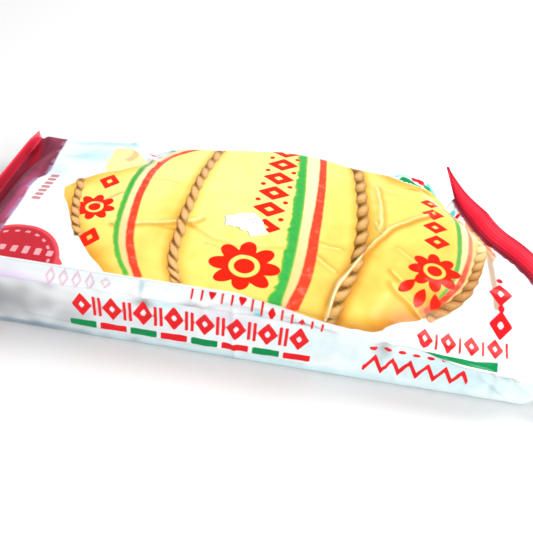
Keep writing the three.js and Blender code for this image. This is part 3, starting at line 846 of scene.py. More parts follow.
def stripe(x, v, path, far_half, near_half, ragged):
    """A painted stripe, of its own width at either end, with blots along its left edge."""
    gap, _, side = path_distance(x, v, spline(path, 5))
    ripple = 0.55 * waves(x, v, 71, 11) + 0.45 * waves(x, v, 73, 3.4, 11)
    blotted = np.where(side < 0, ragged * ripple, 0.05 * waves(x, v, 72, 5))
    return lerp(near_half, far_half, smooth(-40, 40, v)) - gap + blotted


# The shapes below give the distance into them in mm, below zero outside.
def disc(x, v, cx, cy, radius):
    return radius - np.hypot(x - cx, v - cy)


def lozenge(x, v, cx, cy, half_x, half_y):
    share = 1 - np.abs(x - cx) / half_x - np.abs(v - cy) / half_y
    return share * half_x * half_y / math.hypot(half_x, half_y)


def bar(x, v, cx, cy, half_x, half_y):
    return np.minimum(half_x - np.abs(x - cx), half_y - np.abs(v - cy))


def rosette(x, v, cx, cy, radius):
    """Round flower: petals about an open ring with a dot in its middle."""
    out = np.hypot(x - cx, v - cy)
    angle = np.arctan2(v - cy, x - cx)
    reach = radius * (0.60 + 0.40 * np.abs(np.cos(PETALS * angle / 2)) ** 0.8)
    flower = (reach - out) * 0.8
    ring = np.abs(out - radius * 0.36) - radius * 0.07
    return np.minimum(flower, ring)


def leaf(x, v, cx, cy, turn):
    """Pointed oval about (cx, cy), its length along the direction turn."""
    along = (x - cx) * math.cos(turn) + (v - cy) * math.sin(turn)
    across = (v - cy) * math.cos(turn) - (x - cx) * math.sin(turn)
    return LEAF_HALF * (1 - (2 * along / LEAF_LENGTH) ** 2) - np.abs(across)


def pierced_lozenge(x, v, cx, cy, half_x, half_y):
    outer = lozenge(x, v, cx, cy, half_x, half_y)
    return np.minimum(outer, -lozenge(x, v, cx, cy, half_x * 0.3, half_y * 0.3))


def union(shape, x, v, rows):
    """One kind of ornament drawn at every row of a table."""
    return np.max([shape(x, v, *row) for row in rows], 0)


def cheese_ornaments(x, v):
    """Red rosettes, leaves and columns of lozenges printed on the cheese picture."""
    return np.max([
        union(rosette, x, v, ROSETTES),
        union(leaf, x, v, LEAVES),
        union(disc, x, v, MIDDLE_DOTS),
        union(pierced_lozenge, x, v, MIDDLE_COLUMN + RIGHT_COLUMN + LEFT_PAIR),
    ], 0)


def border(x, depth):
    """Running border of the walls: lozenges and paired bars over red and green dashes."""
    red = np.max([
        union(pierced_lozenge, x, depth, BORDER_LOZENGES),
        union(bar, x, depth, BORDER_BARS + BORDER_DASHES[1::2]),
    ], 0)
    return red, union(bar, x, depth, BORDER_DASHES[::2])


def zigzag(x, depth):
    """Brushed zigzag and a row of dots at the wall's right."""
    middle = ZIGZAG_SPAN[1]
    wave = np.abs(((x - ZIGZAG_START) / ZIGZAG_PITCH) % 1 - 0.5) * 4 - 1
    line = 0.85 - np.abs(depth - middle - ZIGZAG_HALF * wave) * 0.62
    return np.maximum(np.minimum(line, bar(x, depth, *ZIGZAG_SPAN)), union(disc, x, depth, ZIGZAG_DOTS))


def band_row(x, v):
    """Upright strokes and small lozenges along the film just under the top picture."""
    heights = np.interp(BAND_PLACES, *np.array(PICTURE_FRONT).T) - BAND_DROP
    rows = list(zip(BAND_PLACES, heights))
    strokes = [(*row, 0.36, 2.0) for i, row in enumerate(rows) if i % 3 != 2]
    lozenges = [(*row, 1.25, 1.7) for row in rows[2::3]]
    return np.maximum(union(bar, x, v, strokes), union(lozenge, x, v, lozenges))


def right_end_ornaments(x, v):
    """Ornaments on the white film at the right, as (red, green)."""
    row = [(cx, cy, 2.6, 2.5) for cx, cy in END_ROW]
    bars = [(cx + 3.5, cy + 0.2, 0.4, 1.9) for cx, cy in END_ROW]
    red = np.max([
        union(pierced_lozenge, x, v, END_COLUMN + row),
        union(disc, x, v, END_DOTS),
        union(bar, x, v, bars),
    ], 0)
    return red, inside_by(x, v, END_WEDGE)


def faint_marks(x, v):
    """Pale pink marks on the white film."""
    open_row = [0.32 - np.abs(lozenge(x, v, *row) - 0.45) for row in FAINT_LOZENGES]
    open_wide = 0.25 - np.abs(lozenge(x, v, *FAINT_WIDE) - 0.4)
    return np.max([*open_row, open_wide, union(bar, x, v, FAINT_BARS)], 0)


def crease_painted_light(x, line):
    """Painted highlight where the colour pales along a crease's crest, and painted shade where it deepens
    along its foot.
    """
    pale, deep = np.zeros(x.shape), np.zeros(x.shape)
    x, line = wandering(x, line)
    for points, _, width, tone in CREASES:
        gap, _, side = path_distance(x, line, spline(points, 4))
        lit_foot = np.exp(-(np.abs(gap - 1.3 * width) / (1.2 * width)) ** 1.6)
        far_foot = 0.2 * np.exp(-np.abs(gap - 1.6 * width) / width)
        lit_crest = np.exp(-gap / (0.25 * width))
        far_crest = np.exp(-((gap / (0.7 * width)) ** 2))
        pale = np.maximum(pale, min(1.0, 1.5 * tone) * np.where(side > 0, lit_crest, far_crest))
        deep = np.maximum(deep, tone * np.where(side > 0, lit_foot, far_foot))
    return pale, deep


def film_tints_and_shade(x, line):
    """Amounts of painted grey shade, painted cyan shade and lilac tint on the white film, each 0 to 1."""
    shades = [blots(x, line, [(*spot[:4], spot[4 + i]) for spot in TINTS_AND_SHADE]) for i in range(3)]
    on_wall = smooth(-45.5, -48.0, line)
    # Painted shadow under the lapped lips, added to the grey painted shade.
    under_laps = 0.8 * lap_relief(x, line)[1]
    shades[0] = np.clip(shades[0] * lerp(0.05, 1.0, on_wall) + under_laps, 0, 1)
    return shades


def badge_marks(x, line):
    """Plain ring of dashes and a row of bars on the badge."""
    cx, cy, radius = BADGE
    out, angle = np.hypot(x - cx, line - cy), np.arctan2(line - cy, x - cx)
    ring = 0.42 - np.abs(out - 0.80 * radius)
    dashes = np.cos(22 * angle) * 1.2
    bars = [(cx - 3.0 + 3.6 * i, cy + 3.6, 0.9, 2.0 - 0.25 * abs(i - 2)) for i in range(5)]
    return np.maximum(np.minimum(ring, dashes), union(bar, x, line, bars))


def lip_fields(x, line, cut):
    """The crease's lip over the rope, and the places where its fold hides the rope."""
    gap, along, side = path_distance(x, line, spline(LIP, 5))
    lip = np.minimum(LIP_HALF * smooth(-1.0, 7.0, along) - gap, cut)
    return lip, (side < 0) & (gap < UNDER_FOLD_WIDTH) & (line < UNDER_FOLD_START)


def rope_fields(x, line):
    """The nearest rope at each place: how far across it (1 at its edge), how many twists along it,
    how far to its lit side, its tone, and the shade that the ropes lay on the rind."""
    across = np.full(x.shape, -NOWHERE)
    turns, lit, tone, glow = (np.zeros(x.shape) for _ in range(4))
    for path, half, far_twist, near_twist, slant, dark, shade_left, shade_right in ROPES:
        gap, along, side = path_distance(x, line, spline(path, 5))
        near = gap / half < across
        across = np.where(near, gap / half, across)
        curve = side * np.minimum(gap / half, 1.2) ** 3
        place = along + slant * side * gap + 0.55 * np.sign(slant) * curve
        twist = lerp(far_twist, near_twist, 0.5 * np.clip(place / along.max(), 0, 1))
        turns = np.where(near, place / twist, turns)
        lit = np.where(near, side * np.minimum(gap / half, 1.5), lit)
        tone = np.where(near, dark, tone)
        shade = np.where(side > 0, shade_right, shade_left)
        glow = np.maximum(glow, shade * smooth(4.6, -0.5, gap - half) ** 2.2)
    return across, turns, lit, tone, glow


def stripe_fields(x, line, cheese):
    """Green, cream and red of the picture's stripes."""
    green = [stripe(x, line, *entry, 0.06 * sum(entry[1:]) ** 2) for entry in GREEN_STRIPES]
    red = [stripe(x, line, *entry, 0.12) for entry in RED_STRIPES]
    cream = []
    for left, right in CREAM_SPANS:
        band = np.vstack([spline(left[0], 3), spline(right[0], 3)[::-1]])
        cream.append(inside_by(x, line, band))
    return np.minimum(np.max(green, 0), cheese), np.max(cream, 0), np.minimum(np.max(red, 0), cheese)


def white_fields(x, line, cheese):
    """Red and green that is printed, or turned over, on the white film round the picture."""
    depth = np.abs(line) - HALF_DEPTH
    red, green = border(x, depth)
    end_red, end_green = right_end_ornaments(x, line)
    front_red = np.where(line < 0, np.maximum(zigzag(x, depth), band_row(x, line)), NOWHERE)
    torn = 0.25 * waves(x, line, 63, 2.4)
    red_bits = blots(x, line, RED_BITS) - 0.6 + torn
    green_bits = blots(x, line, GREEN_BITS) - 0.55 + torn
    off_cheese = cheese < 0
    red = np.max([red, front_red, end_red, np.where(off_cheese, red_bits, NOWHERE)], 0)
    green = np.max([green, end_green, np.where(off_cheese, green_bits, NOWHERE)], 0)
    return red, green


def print_fields(x, line):
    """Every field of the print, three to a layer: distances in mm, above zero inside, or shares."""
    cut = line - np.interp(x, *np.array(PICTURE_FRONT).T)
    near, far = spline(CHEESE_NEAR, 4), spline(CHEESE_FAR, 4)
    rim = inside_by(x, line, np.vstack([near, far, CHEESE_TIP]))
    cheese = np.minimum(rim, cut)
    lip, hidden = lip_fields(x, line, cut)
    across, turns, lit, tone, glow = rope_fields(x, line)
    across = np.where(hidden, -NOWHERE, np.maximum(across, 1 - 4 * cut))
    pale, deep = crease_painted_light(x, line)
    seal_x, seal_line = np.array(SEAL_EDGE_LEFT)[::-1].T
    seal = np.interp(line, seal_line, seal_x) - x
    badge = np.maximum(disc(x, line, *BADGE), inside_by(x, line, BADGE_TAIL))
    patch = np.maximum(inside_by(x, line, LEFT_PATCH), inside_by(x, line, RIGHT_PATCH))
    tails = np.max([line_by(x, line, *entry) for entry in TAILS], 0)
    return {
        "print_rope": (across, turns, lit),
        # Painted grey and cyan shade, and a lilac tint of the white film.
        "tint_and_painted_shade": film_tints_and_shade(x, line),
        "print_bits": (tone, tails, blots(x, line, AMBER_AND_SHADE)),
        "print_marks": (blots(x, line, NAVY), blots(x, line, EMBER), badge_marks(x, line)),
        "print_gleam": (blots(x, line, GLEAMS), lip, blots(x, line, BLUSH)),
        "print_picture": (cheese, glow, np.minimum(cheese_ornaments(x, line), cheese)),
        "print_stripes": stripe_fields(x, line, cheese),
        "print_white": (*white_fields(x, line, cheese), faint_marks(x, line)),
        "print_ends": (seal, np.minimum(badge, cut), patch),
        "print_map": (x, line, np.minimum(line_by(x, line, *PATCH_ROPE), patch)),
        # The creases' painted highlight and painted shade, and the distance into the cheese's outline.
        "painted_fold_light_and_rim": (pale, deep, rim),
    }


film, film_x, film_line, film_end = make_film()
for layer_name, layer_parts in print_fields(film_x, film_line).items():
    write_layer(film, layer_name, np.stack(layer_parts, -1))
write_layer(film, "seal_reach", film_end)


# ---- the torn scrap of a paper label -----------------------------------------------------------
SCRAP_OUTLINE = [
    (-13.4, -7.2), (-11.7, -6.5), (-10.1, -5.9), (-9.0, -4.5), (-7.5, -4.6), (-5.9, -3.7), (-4.6, -3.8),
    (-2.7, -5.4), (-1.1, -7.3), (-0.5, -9.6), (0.5, -11.4), (1.5, -12.4), (-1.6, -14.3), (-3.9, -15.5),
    (-4.4, -14.6), (-5.0, -13.1), (-6.4, -13.1), (-7.6, -12.7), (-8.0, -11.9), (-9.1, -11.7),
    (-9.7, -12.1), (-10.7, -11.7), (-11.8, -11.4), (-12.8, -11.7), (-12.7, -10.2), (-13.1, -8.4),
]
SCRAP_MIDDLE = (-5.8, -9.2)
SCRAP_SPOKES = 220
SCRAP_RINGS = 12
SCRAP_LIFT = 0.05
SCRAP_THICK = 0.16
SCRAP_CURL = 0.08
# No pleat of the seals reaches the scrap.
FAR_FROM_SEALS = 90.0


def scrap_reach(angle):
    """Distance from the scrap's middle to its torn edge."""
    outline = np.array(SCRAP_OUTLINE + SCRAP_OUTLINE[:1], float) - SCRAP_MIDDLE
    turns = np.unwrap(np.arctan2(outline[:, 1], outline[:, 0]))
    turns, reach = turns[::-1], np.hypot(outline[:, 0], outline[:, 1])[::-1]
    start = turns[0]
    clean = np.interp((angle - start) % (2 * math.pi) + start, turns, reach)
    torn = 0.09 * waves(angle * 9, 0 * angle, 51, 1.7) + 0.08 * waves(angle * 9, 0 * angle, 52, 0.6)
    return clean + torn


def make_scrap():
    angle = np.linspace(0, 2 * math.pi, SCRAP_SPOKES, endpoint=False)
    share = np.linspace(0, 1, SCRAP_RINGS + 1)[1:]
    reach = scrap_reach(angle)
    x = SCRAP_MIDDLE[0] + np.append(np.outer(share, reach * np.cos(angle)), 0.0)
    y = SCRAP_MIDDLE[1] + np.append(np.outer(share, reach * np.sin(angle)), 0.0)
    rim = np.append(np.repeat(share, SCRAP_SPOKES), 0.0)
    ground = top_z(x, y) + film_relief(x, y, np.full(x.shape, FAR_FROM_SEALS))
    curl = SCRAP_CURL * rim**4 * (0.5 + 0.5 * waves(x, y, 53, 6))
    below = ground + SCRAP_LIFT + curl + 0.02 * waves(x, y, 54, 3)
    above = below + SCRAP_THICK * (1 - 0.6 * rim**8)
    points = np.vstack([np.stack([x, y, above], -1), np.stack([x, y, below], -1)])
    layer, count = len(x), SCRAP_SPOKES
    faces = []
    for j in range(count):
        n = (j + 1) % count
        faces.append((layer - 1, j, n))
        faces.append((2 * layer - 1, layer + n, layer + j))
        for ring in range(SCRAP_RINGS - 1):
            a, b = ring * count + j, ring * count + n
            faces.append((a, a + count, b + count, b))
            faces.append((layer + b, layer + b + count, layer + a + count, layer + a))
        a, b = (SCRAP_RINGS - 1) * count + j, (SCRAP_RINGS - 1) * count + n
        faces.append((a, layer + a, layer + b, b))
    piece = make_piece("paper_scrap", points, faces)
    write_layer(piece, "print_map", np.tile(np.stack([x, y, rim], -1), (2, 1)))
    return piece


scrap = make_scrap()


# ---- materials ---------------------------------------------------------------------------------
def ink(r, g, b):
    """Screen colour (0 to 255) to the linear colour that a shader takes."""
    out = []
    for value in (r, g, b):
        c = value / 255
        out.append(c / 12.92 if c <= 0.04045 else ((c + 0.055) / 1.055) ** 2.4)
    return (*out, 1.0)


WHITE_FILM = ink(250, 253, 253)
# Cyan and grey that stand in for shade on the white film: painted shade.
CYAN_SHADE = ink(204, 243, 248)
GREY_SHADE = ink(120, 123, 128)
LILAC_FILM = ink(226, 196, 240)
NAVY_FILM = ink(84, 104, 132)
GLEAM = ink(22, 206, 206)
BAND_MARK = ink(226, 120, 172)
TOP_MARK = ink(196, 84, 96)
PALE_YELLOW = ink(252, 240, 164)
PALE_ORANGE = ink(232, 158, 106)
NEAR_TAIL = ink(184, 154, 126)
FAR_TAIL = ink(194, 108, 34)
PATCH_ROPE_TAN = ink(214, 150, 104)
WALL_REDS = (ink(244, 22, 24), ink(226, 30, 40))
WALL_GREEN = ink(0, 142, 78)
RIND = [
    (0.0, ink(252, 247, 150)), (0.2, ink(249, 231, 120)), (0.46, ink(244, 204, 92)),
    (0.74, ink(236, 170, 62)), (1.0, ink(200, 130, 44)),
]
# Painted shade of a crease's foot and painted highlight of its crest.
CREASE_PAINTED_SHADE = ink(196, 130, 0)
CREASE_PAINTED_HIGHLIGHT = ink(255, 253, 205)
ROPE = [
    (0.0, ink(240, 204, 146)), (0.3, ink(215, 166, 98)), (0.6, ink(164, 116, 44)),
    (1.0, ink(100, 62, 14)),
]
ROPE_PEACH = ink(250, 190, 132)
ROPE_BROWN = ink(180, 112, 78)
ROPE_FADED = ink(255, 234, 166)
CREAM_FAR = ink(253, 240, 190)
CREAM_NEAR = ink(250, 212, 146)
CREAM_SHADED = ink(246, 202, 130)
STRIPE_GREENS = (ink(24, 160, 78), ink(84, 192, 74))
GREEN_EDGE = ink(150, 196, 62)
GREEN_RIGHT = ink(104, 170, 84)
STRIPE_REDS = (ink(252, 78, 46), ink(250, 58, 34))
RED_SHEEN = ink(250, 140, 116)
RED_FADED = ink(250, 146, 122)
ORNAMENT_RED = ink(252, 30, 4)
# Painted shade at the lip's edges and painted highlight along it.
LIP_EDGE_SHADE = ink(214, 150, 70)
LIP_HIGHLIGHT = ink(255, 242, 186)
BADGE_REDS = (ink(196, 42, 56), ink(238, 84, 92))
BADGE_MARK = ink(252, 206, 210)
MAROON = [(0.3, ink(118, 50, 72)), (0.5, ink(146, 62, 86)), (0.8, ink(178, 68, 90))]
MAROON_EMBER = ink(226, 38, 62)
MAROON_BLUSH = ink(214, 104, 146)
MAROON_FRINGE = ink(176, 160, 214)
# The left fin's lighter red is painted light.
LEFT_FIN_LIT_RED = ink(255, 62, 88)
# The right fin's red, from its cut edge in to the film behind its root: a painted highlight just in from
# the cut edge, and painted shade at the edge and towards the root.
RIGHT_FIN_RED_AND_SHADE = [
    (0.0, ink(190, 16, 46)), (0.12, ink(246, 52, 74)), (0.5, ink(240, 26, 52)),
    (0.72, ink(206, 18, 48)), (0.86, ink(156, 14, 38)), (1.0, ink(108, 10, 30)),
]
PAPER_WHITE = ink(253, 251, 254)
PAPER_PRINT = ink(176, 122, 204)
# Roughness of each finish, the shine of film and paper, and their bump (strength, distance in m).
FILM_ROUGH = 0.17
MAROON_ROUGH = 0.75
FIN_ROUGH = 0.34
CREASE_ROUGH = 0.4
PAPER_ROUGH = 0.75
FILM_SHINE = 0.14
PAPER_SHINE = 0.2
FILM_BUMP = (0.35, 0.0006)
PAPER_BUMP = (0.4, 0.0003)


class Wires:
    """Short calls for making and joining the nodes of one tree."""

    def __init__(self, tree):
        self.tree = tree

    def feed(self, socket, value):
        if isinstance(value, bpy.types.NodeSocket):
            self.tree.links.new(value, socket)
        else:
            socket.default_value = value

    def node(self, kind, inputs=(), **settings):
        made = self.tree.nodes.new("ShaderNode" + kind)
        for name, value in settings.items():
            setattr(made, name, value)
        for key, value in dict(inputs).items():
            self.feed(made.inputs[key], value)
        return made

    def math(self, operation, *values, clamp=False):
        inputs = dict(enumerate(values))
        return self.node("Math", inputs, operation=operation, use_clamp=clamp).outputs[0]

    def chain(self, operation, values, clamp):
        total = values[0]
        for value in values[1:-1]:
            total = self.math(operation, total, value)
        return self.math(operation, total, values[-1], clamp=clamp)

    def plus(self, *values, clamp=False):
        return self.chain("ADD", values, clamp)

    def times(self, *values, clamp=False):
        return self.chain("MULTIPLY", values, clamp)

    def minus(self, a, b, clamp=False):
        return self.math("SUBTRACT", a, b, clamp=clamp)

    def fade(self, value, low, high, start=0.0, end=1.0):
        """From start at value low to end at value high, with a soft start and end."""
        values = {"Value": value, "From Min": low, "From Max": high, "To Min": start, "To Max": end}
        return self.node("MapRange", values, interpolation_type="SMOOTHSTEP").outputs[0]

    def inside(self, distance, soft=0.16):
        """1 inside a field of the print, 0 outside it."""
        return self.fade(distance, -soft, soft)

    def lay(self, under, over, *shares):
        """One colour laid on another by the product of the shares."""
        made = self.node("Mix", data_type="RGBA")
        self.feed(made.inputs["Factor"], self.times(*shares) if len(shares) > 1 else shares[0])
        self.feed(made.inputs[6], under)
        self.feed(made.inputs[7], over)
        return made.outputs[2]

    def ramp(self, value, stops):
        """Colour along the stops, which are given in order as (place, colour)."""
        made = self.node("ValToRGB", {0: value})
        elements = made.color_ramp.elements
        elements[0].position, elements[0].color = stops[0]
        elements[-1].position, elements[-1].color = stops[-1]
        for place, colour in stops[1:-1]:
            elements.new(place).color = colour
        return made.outputs[0]

    def parts(self, name):
        """The three fields of a layer that was written at the mesh's points."""
        vector = self.node("Attribute", attribute_name=name).outputs["Vector"]
        return tuple(self.node("SeparateXYZ", {0: vector}).outputs)

    def place(self):
        """Where the point lies on the film or the paper, as a vector (x, line, 0)."""
        vector = self.node("Attribute", attribute_name="print_map").outputs["Vector"]
        return self.node("VectorMath", {0: vector, 1: (1, 1, 0)}, operation="MULTIPLY").outputs[0]

    def noise(self, vector, scale, detail=2.0, rough=0.5):
        values = {"Vector": vector, "Scale": scale, "Detail": detail, "Roughness": rough}
        return self.node("TexNoise", values).outputs["Fac"]


def make_wrinkle_group():
    """Shallow wrinkles of a thin sheet, as a height about 0 to 1."""
    group = bpy.data.node_groups.new("fine_wrinkles", "ShaderNodeTree")
    for name, kind in (("Place", "Vector"), ("Size", "Float")):
        group.interface.new_socket(name=name, in_out="INPUT", socket_type="NodeSocket" + kind)
    group.interface.new_socket(name="Height", in_out="OUTPUT", socket_type="NodeSocketFloat")
    w = Wires(group)
    entry = group.nodes.new("NodeGroupInput").outputs
    result = group.nodes.new("NodeGroupOutput").inputs
    scaled = w.node("VectorMath", {0: entry["Place"], 3: entry["Size"]}, operation="SCALE").outputs[0]
    w.feed(result["Height"], w.noise(scaled, 0.09))
    return group


def new_material(name):
    material = bpy.data.materials.new(name)
    material.use_nodes = True
    return material, Wires(material.node_tree), material.node_tree.nodes["Principled BSDF"]


def wrinkle_height(w, group, place, size):
    made = w.tree.nodes.new("ShaderNodeGroup")
    made.node_tree = group
    w.feed(made.inputs["Place"], place)
    w.feed(made.inputs["Size"], size)
    return made.outputs["Height"]


def add_bump(w, shader, height, strength, distance):
    """Small relief that is too fine for the mesh."""
    bump = w.node("Bump", {"Height": height, "Strength": strength, "Distance": distance})
    w.feed(shader.inputs["Normal"], bump.outputs[0])


def rind_colour(w, place):
    """Smooth yellow rind: pale where it bulges, deeper towards the ropes and the outline, with painted
    shade along the creases' feet and painted highlight along their crests.
    """
    x, line, _ = w.parts("print_map")
    pale, deep, rim = w.parts("painted_fold_light_and_rim")
    glow = w.parts("print_picture")[1]
    # Deeper yellow of the rind, with painted crease shade in two spots.
    amber_and_shade = w.parts("print_bits")[2]
    edge = w.times(w.math("POWER", w.fade(rim, 0.0, 9.0, 1.0, 0.0), 1.8), 0.42)
    low = w.fade(line, 16.0, -44.0, 0.0, 0.26)
    right = w.plus(w.fade(x, -4.0, 24.0, 0.0, 0.2), w.fade(x, 30.0, 44.0, 0.0, 0.05))
    mottle = w.math("MULTIPLY_ADD", w.noise(place, 0.12), 0.34, -0.17)
    shade = w.plus(edge, w.plus(low, right), w.times(glow, 0.42), w.times(amber_and_shade, 0.5))
    shade = w.plus(w.minus(shade, w.times(pale, 0.3)), mottle, clamp=True)
    # Painted shade along the creases' feet, then painted highlight along their crests.
    rind = w.lay(w.ramp(shade, RIND), CREASE_PAINTED_SHADE, deep)
    return w.lay(rind, CREASE_PAINTED_HIGHLIGHT, w.math("POWER", pale, 2.0), 0.75)


def rope_colour(w, place):
    """Laid rope: slanting strands, each lit along one side, with dark wedges between them."""
    x, line, _ = w.parts("print_map")
    across, turns, lit = w.parts("print_rope")
    tone = w.parts("print_bits")[0]
    deep = w.parts("painted_fold_light_and_rim")[1]
    turn = w.math("FRACT", turns)
    fibre = w.noise(place, 1.3, 3.0, 0.7)
    wide = w.fade(tone, 0.65, 0.78, 0.18, 0.34)
    gap = w.fade(w.math("ABSOLUTE", w.minus(turn, 0.5)), wide, 0.5)
    wedge = w.math("MULTIPLY_ADD", lit, -0.5, 0.46)
    gap = w.times(w.math("POWER", gap, 1.7), wedge, clamp=True)
    gap = w.times(gap, w.fade(line, 20.0, -36.0, 0.8, 1.5), w.fade(fibre, 0.35, 0.65, 0.8, 1.0))
    fall = w.times(w.math("ABSOLUTE", w.minus(turn, 0.40)), 0.65)
    round_off = w.times(w.math("POWER", across, 2.2), 0.3)
    shade = w.minus(w.plus(gap, fall, round_off), w.times(lit, 0.1))
    fuzz = w.times(w.minus(fibre, 0.5), 0.55)
    # deep darkens the rope with the painted shade of the crease's foot.
    shade = w.plus(shade, w.times(tone, 0.5), w.times(deep, 0.1), fuzz)
    shade = w.minus(shade, 0.12, clamp=True)
    strands = w.ramp(shade, ROPE)
    lighter = (w.fade(tone, 0.6, 0.44), w.fade(shade, 0.6, 0.1, 0.06, 0.42))
    strands = w.lay(strands, ROPE_PEACH, *lighter)
    strands = w.lay(strands, ROPE_BROWN, w.fade(tone, 0.66, 0.78), 0.3)
    far_right = (w.fade(x, 50.0, 60.0), w.fade(line, -16.0, 0.0))
    return w.lay(strands, ROPE_FADED, *far_right, w.fade(shade, 0.95, 0.5, 0.35, 0.85))


def white_film_colour(w, place):
    """The film outside the picture: painted grey and cyan shade and a lilac tint, then what is printed or
    turned over on it.
    """
    x, line, patch_rope = w.parts("print_map")
    grey, cyan, lilac = w.parts("tint_and_painted_shade")
    red, green, marks = w.parts("print_white")
    navy = w.parts("print_marks")[0]
    gleam = w.parts("print_gleam")[0]
    tails = w.parts("print_bits")[1]
    patch = w.parts("print_ends")[2]
    # Soft patches of painted cyan shade, then the painted cyan and grey shade and the lilac tint.
    colour = w.lay(WHITE_FILM, CYAN_SHADE, w.fade(w.noise(place, 0.06), 0.45, 0.7), 0.15)
    colour = w.lay(colour, CYAN_SHADE, cyan)
    colour = w.lay(colour, GREY_SHADE, grey, 0.85)
    colour = w.lay(colour, LILAC_FILM, lilac, 0.8)
    colour = w.lay(colour, NAVY_FILM, navy, 0.75)
    mark_ink = w.lay(BAND_MARK, TOP_MARK, w.fade(line, -30.0, -20.0))
    colour = w.lay(colour, mark_ink, w.inside(marks), w.fade(line, -30.0, -20.0, 0.46, 0.8))
    colour = w.lay(colour, GLEAM, w.fade(gleam, 0.25, 0.9), 0.85)
    patch_ink = w.lay(PALE_YELLOW, PALE_ORANGE, w.fade(x, -10.0, 10.0))
    colour = w.lay(colour, patch_ink, w.inside(patch))
    tail_ink = w.lay(NEAR_TAIL, FAR_TAIL, w.fade(line, -10.0, 0.0))
    colour = w.lay(colour, tail_ink, w.inside(tails, 0.5), 0.9)
    colour = w.lay(colour, w.lay(*WALL_REDS, w.noise(place, 0.5, 3.0, 0.6)), w.inside(red))
    colour = w.lay(colour, WALL_GREEN, w.inside(green))
    return w.lay(colour, PATCH_ROPE_TAN, w.inside(patch_rope, 0.7), 0.6)


def lay_stripes(w, place, colour):
    """The picture's cream bands, then its green and its red stripes."""
    x, line, _ = w.parts("print_map")
    green, cream, red = w.parts("print_stripes")
    cheese = w.parts("print_picture")[0]
    across = w.parts("print_rope")[0]
    grain = w.noise(place, 0.5, 3.0, 0.6)
    cream_ink = w.lay(CREAM_FAR, CREAM_NEAR, w.fade(line, 15.0, -35.0))
    by_rope = (w.fade(across, 3.4, 1.3), w.fade(x, 40.0, 52.0))
    cream_ink = w.lay(cream_ink, CREAM_SHADED, *by_rope, 0.9)
    colour = w.lay(colour, cream_ink, w.inside(w.math("MINIMUM", cream, cheese), 0.4), 0.9)
    green_ink = w.lay(GREEN_EDGE, w.lay(*STRIPE_GREENS, grain), w.fade(green, -0.2, 0.9))
    green_ink = w.lay(green_ink, GREEN_RIGHT, w.fade(x, 48.0, 54.0, 0.0, 0.6))
    colour = w.lay(colour, green_ink, w.inside(green, 0.36))
    # Pale patches on the red stripes: painted sheen.
    worn = w.fade(w.noise(place, 0.3, 3.0, 0.7), 0.5, 0.7, 0.0, 0.55)
    red_ink = w.lay(w.lay(*STRIPE_REDS, grain), RED_SHEEN, worn)
    far_right = (w.fade(x, 50.0, 60.0), w.fade(line, -22.0, -2.0))
    red_ink = w.lay(red_ink, RED_FADED, *far_right, 0.8)
    return w.lay(colour, red_ink, w.inside(red, 0.36))


def lay_picture(w, place, colour):
    """The cheese picture: rind, stripes, ornaments, ropes, and the crease's lip over them as a painted
    highlight.
    """
    cheese, _, ornaments = w.parts("print_picture")
    across, turns, _ = w.parts("print_rope")
    lip = w.parts("print_gleam")[1]
    colour = w.lay(colour, rind_colour(w, place), w.inside(cheese))
    colour = lay_stripes(w, place, colour)
    colour = w.lay(colour, ORNAMENT_RED, w.inside(ornaments, 0.2))
    scallop = w.times(w.math("COSINE", w.times(turns, 2 * math.pi)), -0.13)
    on_rope = w.inside(w.minus(w.plus(1.0, scallop), across))
    colour = w.lay(colour, rope_colour(w, place), on_rope, w.fade(cheese, -2.2, -1.2))
    # The lip over the rope: painted highlight with painted shade at its edges.
    lip_painted_light = w.lay(LIP_EDGE_SHADE, LIP_HIGHLIGHT, w.fade(lip, 0.0, 0.5))
    return w.lay(colour, lip_painted_light, w.inside(lip, 0.25), 0.92)


def lay_badge(w, place, colour):
    cx, cy, radius = BADGE
    out = w.node("VectorMath", {0: place, 1: (cx, cy, 0)}, operation="DISTANCE").outputs["Value"]
    badge = w.lay(*BADGE_REDS, w.fade(out, radius - 1.6, radius - 0.6))
    badge = w.lay(badge, BADGE_MARK, w.inside(w.parts("print_marks")[2]), 0.62)
    return w.lay(colour, badge, w.inside(w.parts("print_ends")[1]))


def maroon_colour(w, place):
    """The left end's streaked maroon, with a lilac fringe where the white film begins."""
    seal = w.parts("print_ends")[0]
    ember = w.parts("print_marks")[1]
    blush = w.parts("print_gleam")[2]
    stretched = w.node("Mapping", {"Vector": place, "Scale": (0.6, 0.07, 1.0)}).outputs[0]
    maroon = w.ramp(w.noise(stretched, 0.55, 3.0, 0.6), MAROON)
    maroon = w.lay(maroon, MAROON_EMBER, ember, 0.75)
    maroon = w.lay(maroon, MAROON_BLUSH, blush, 0.75)
    patchy = w.fade(w.noise(place, 0.14), 0.4, 0.6)
    fringe = (w.fade(seal, 1.9, 0.3), patchy, w.fade(seal, -2.0, 0.0))
    return w.lay(maroon, MAROON_FRINGE, *fringe, 0.7)


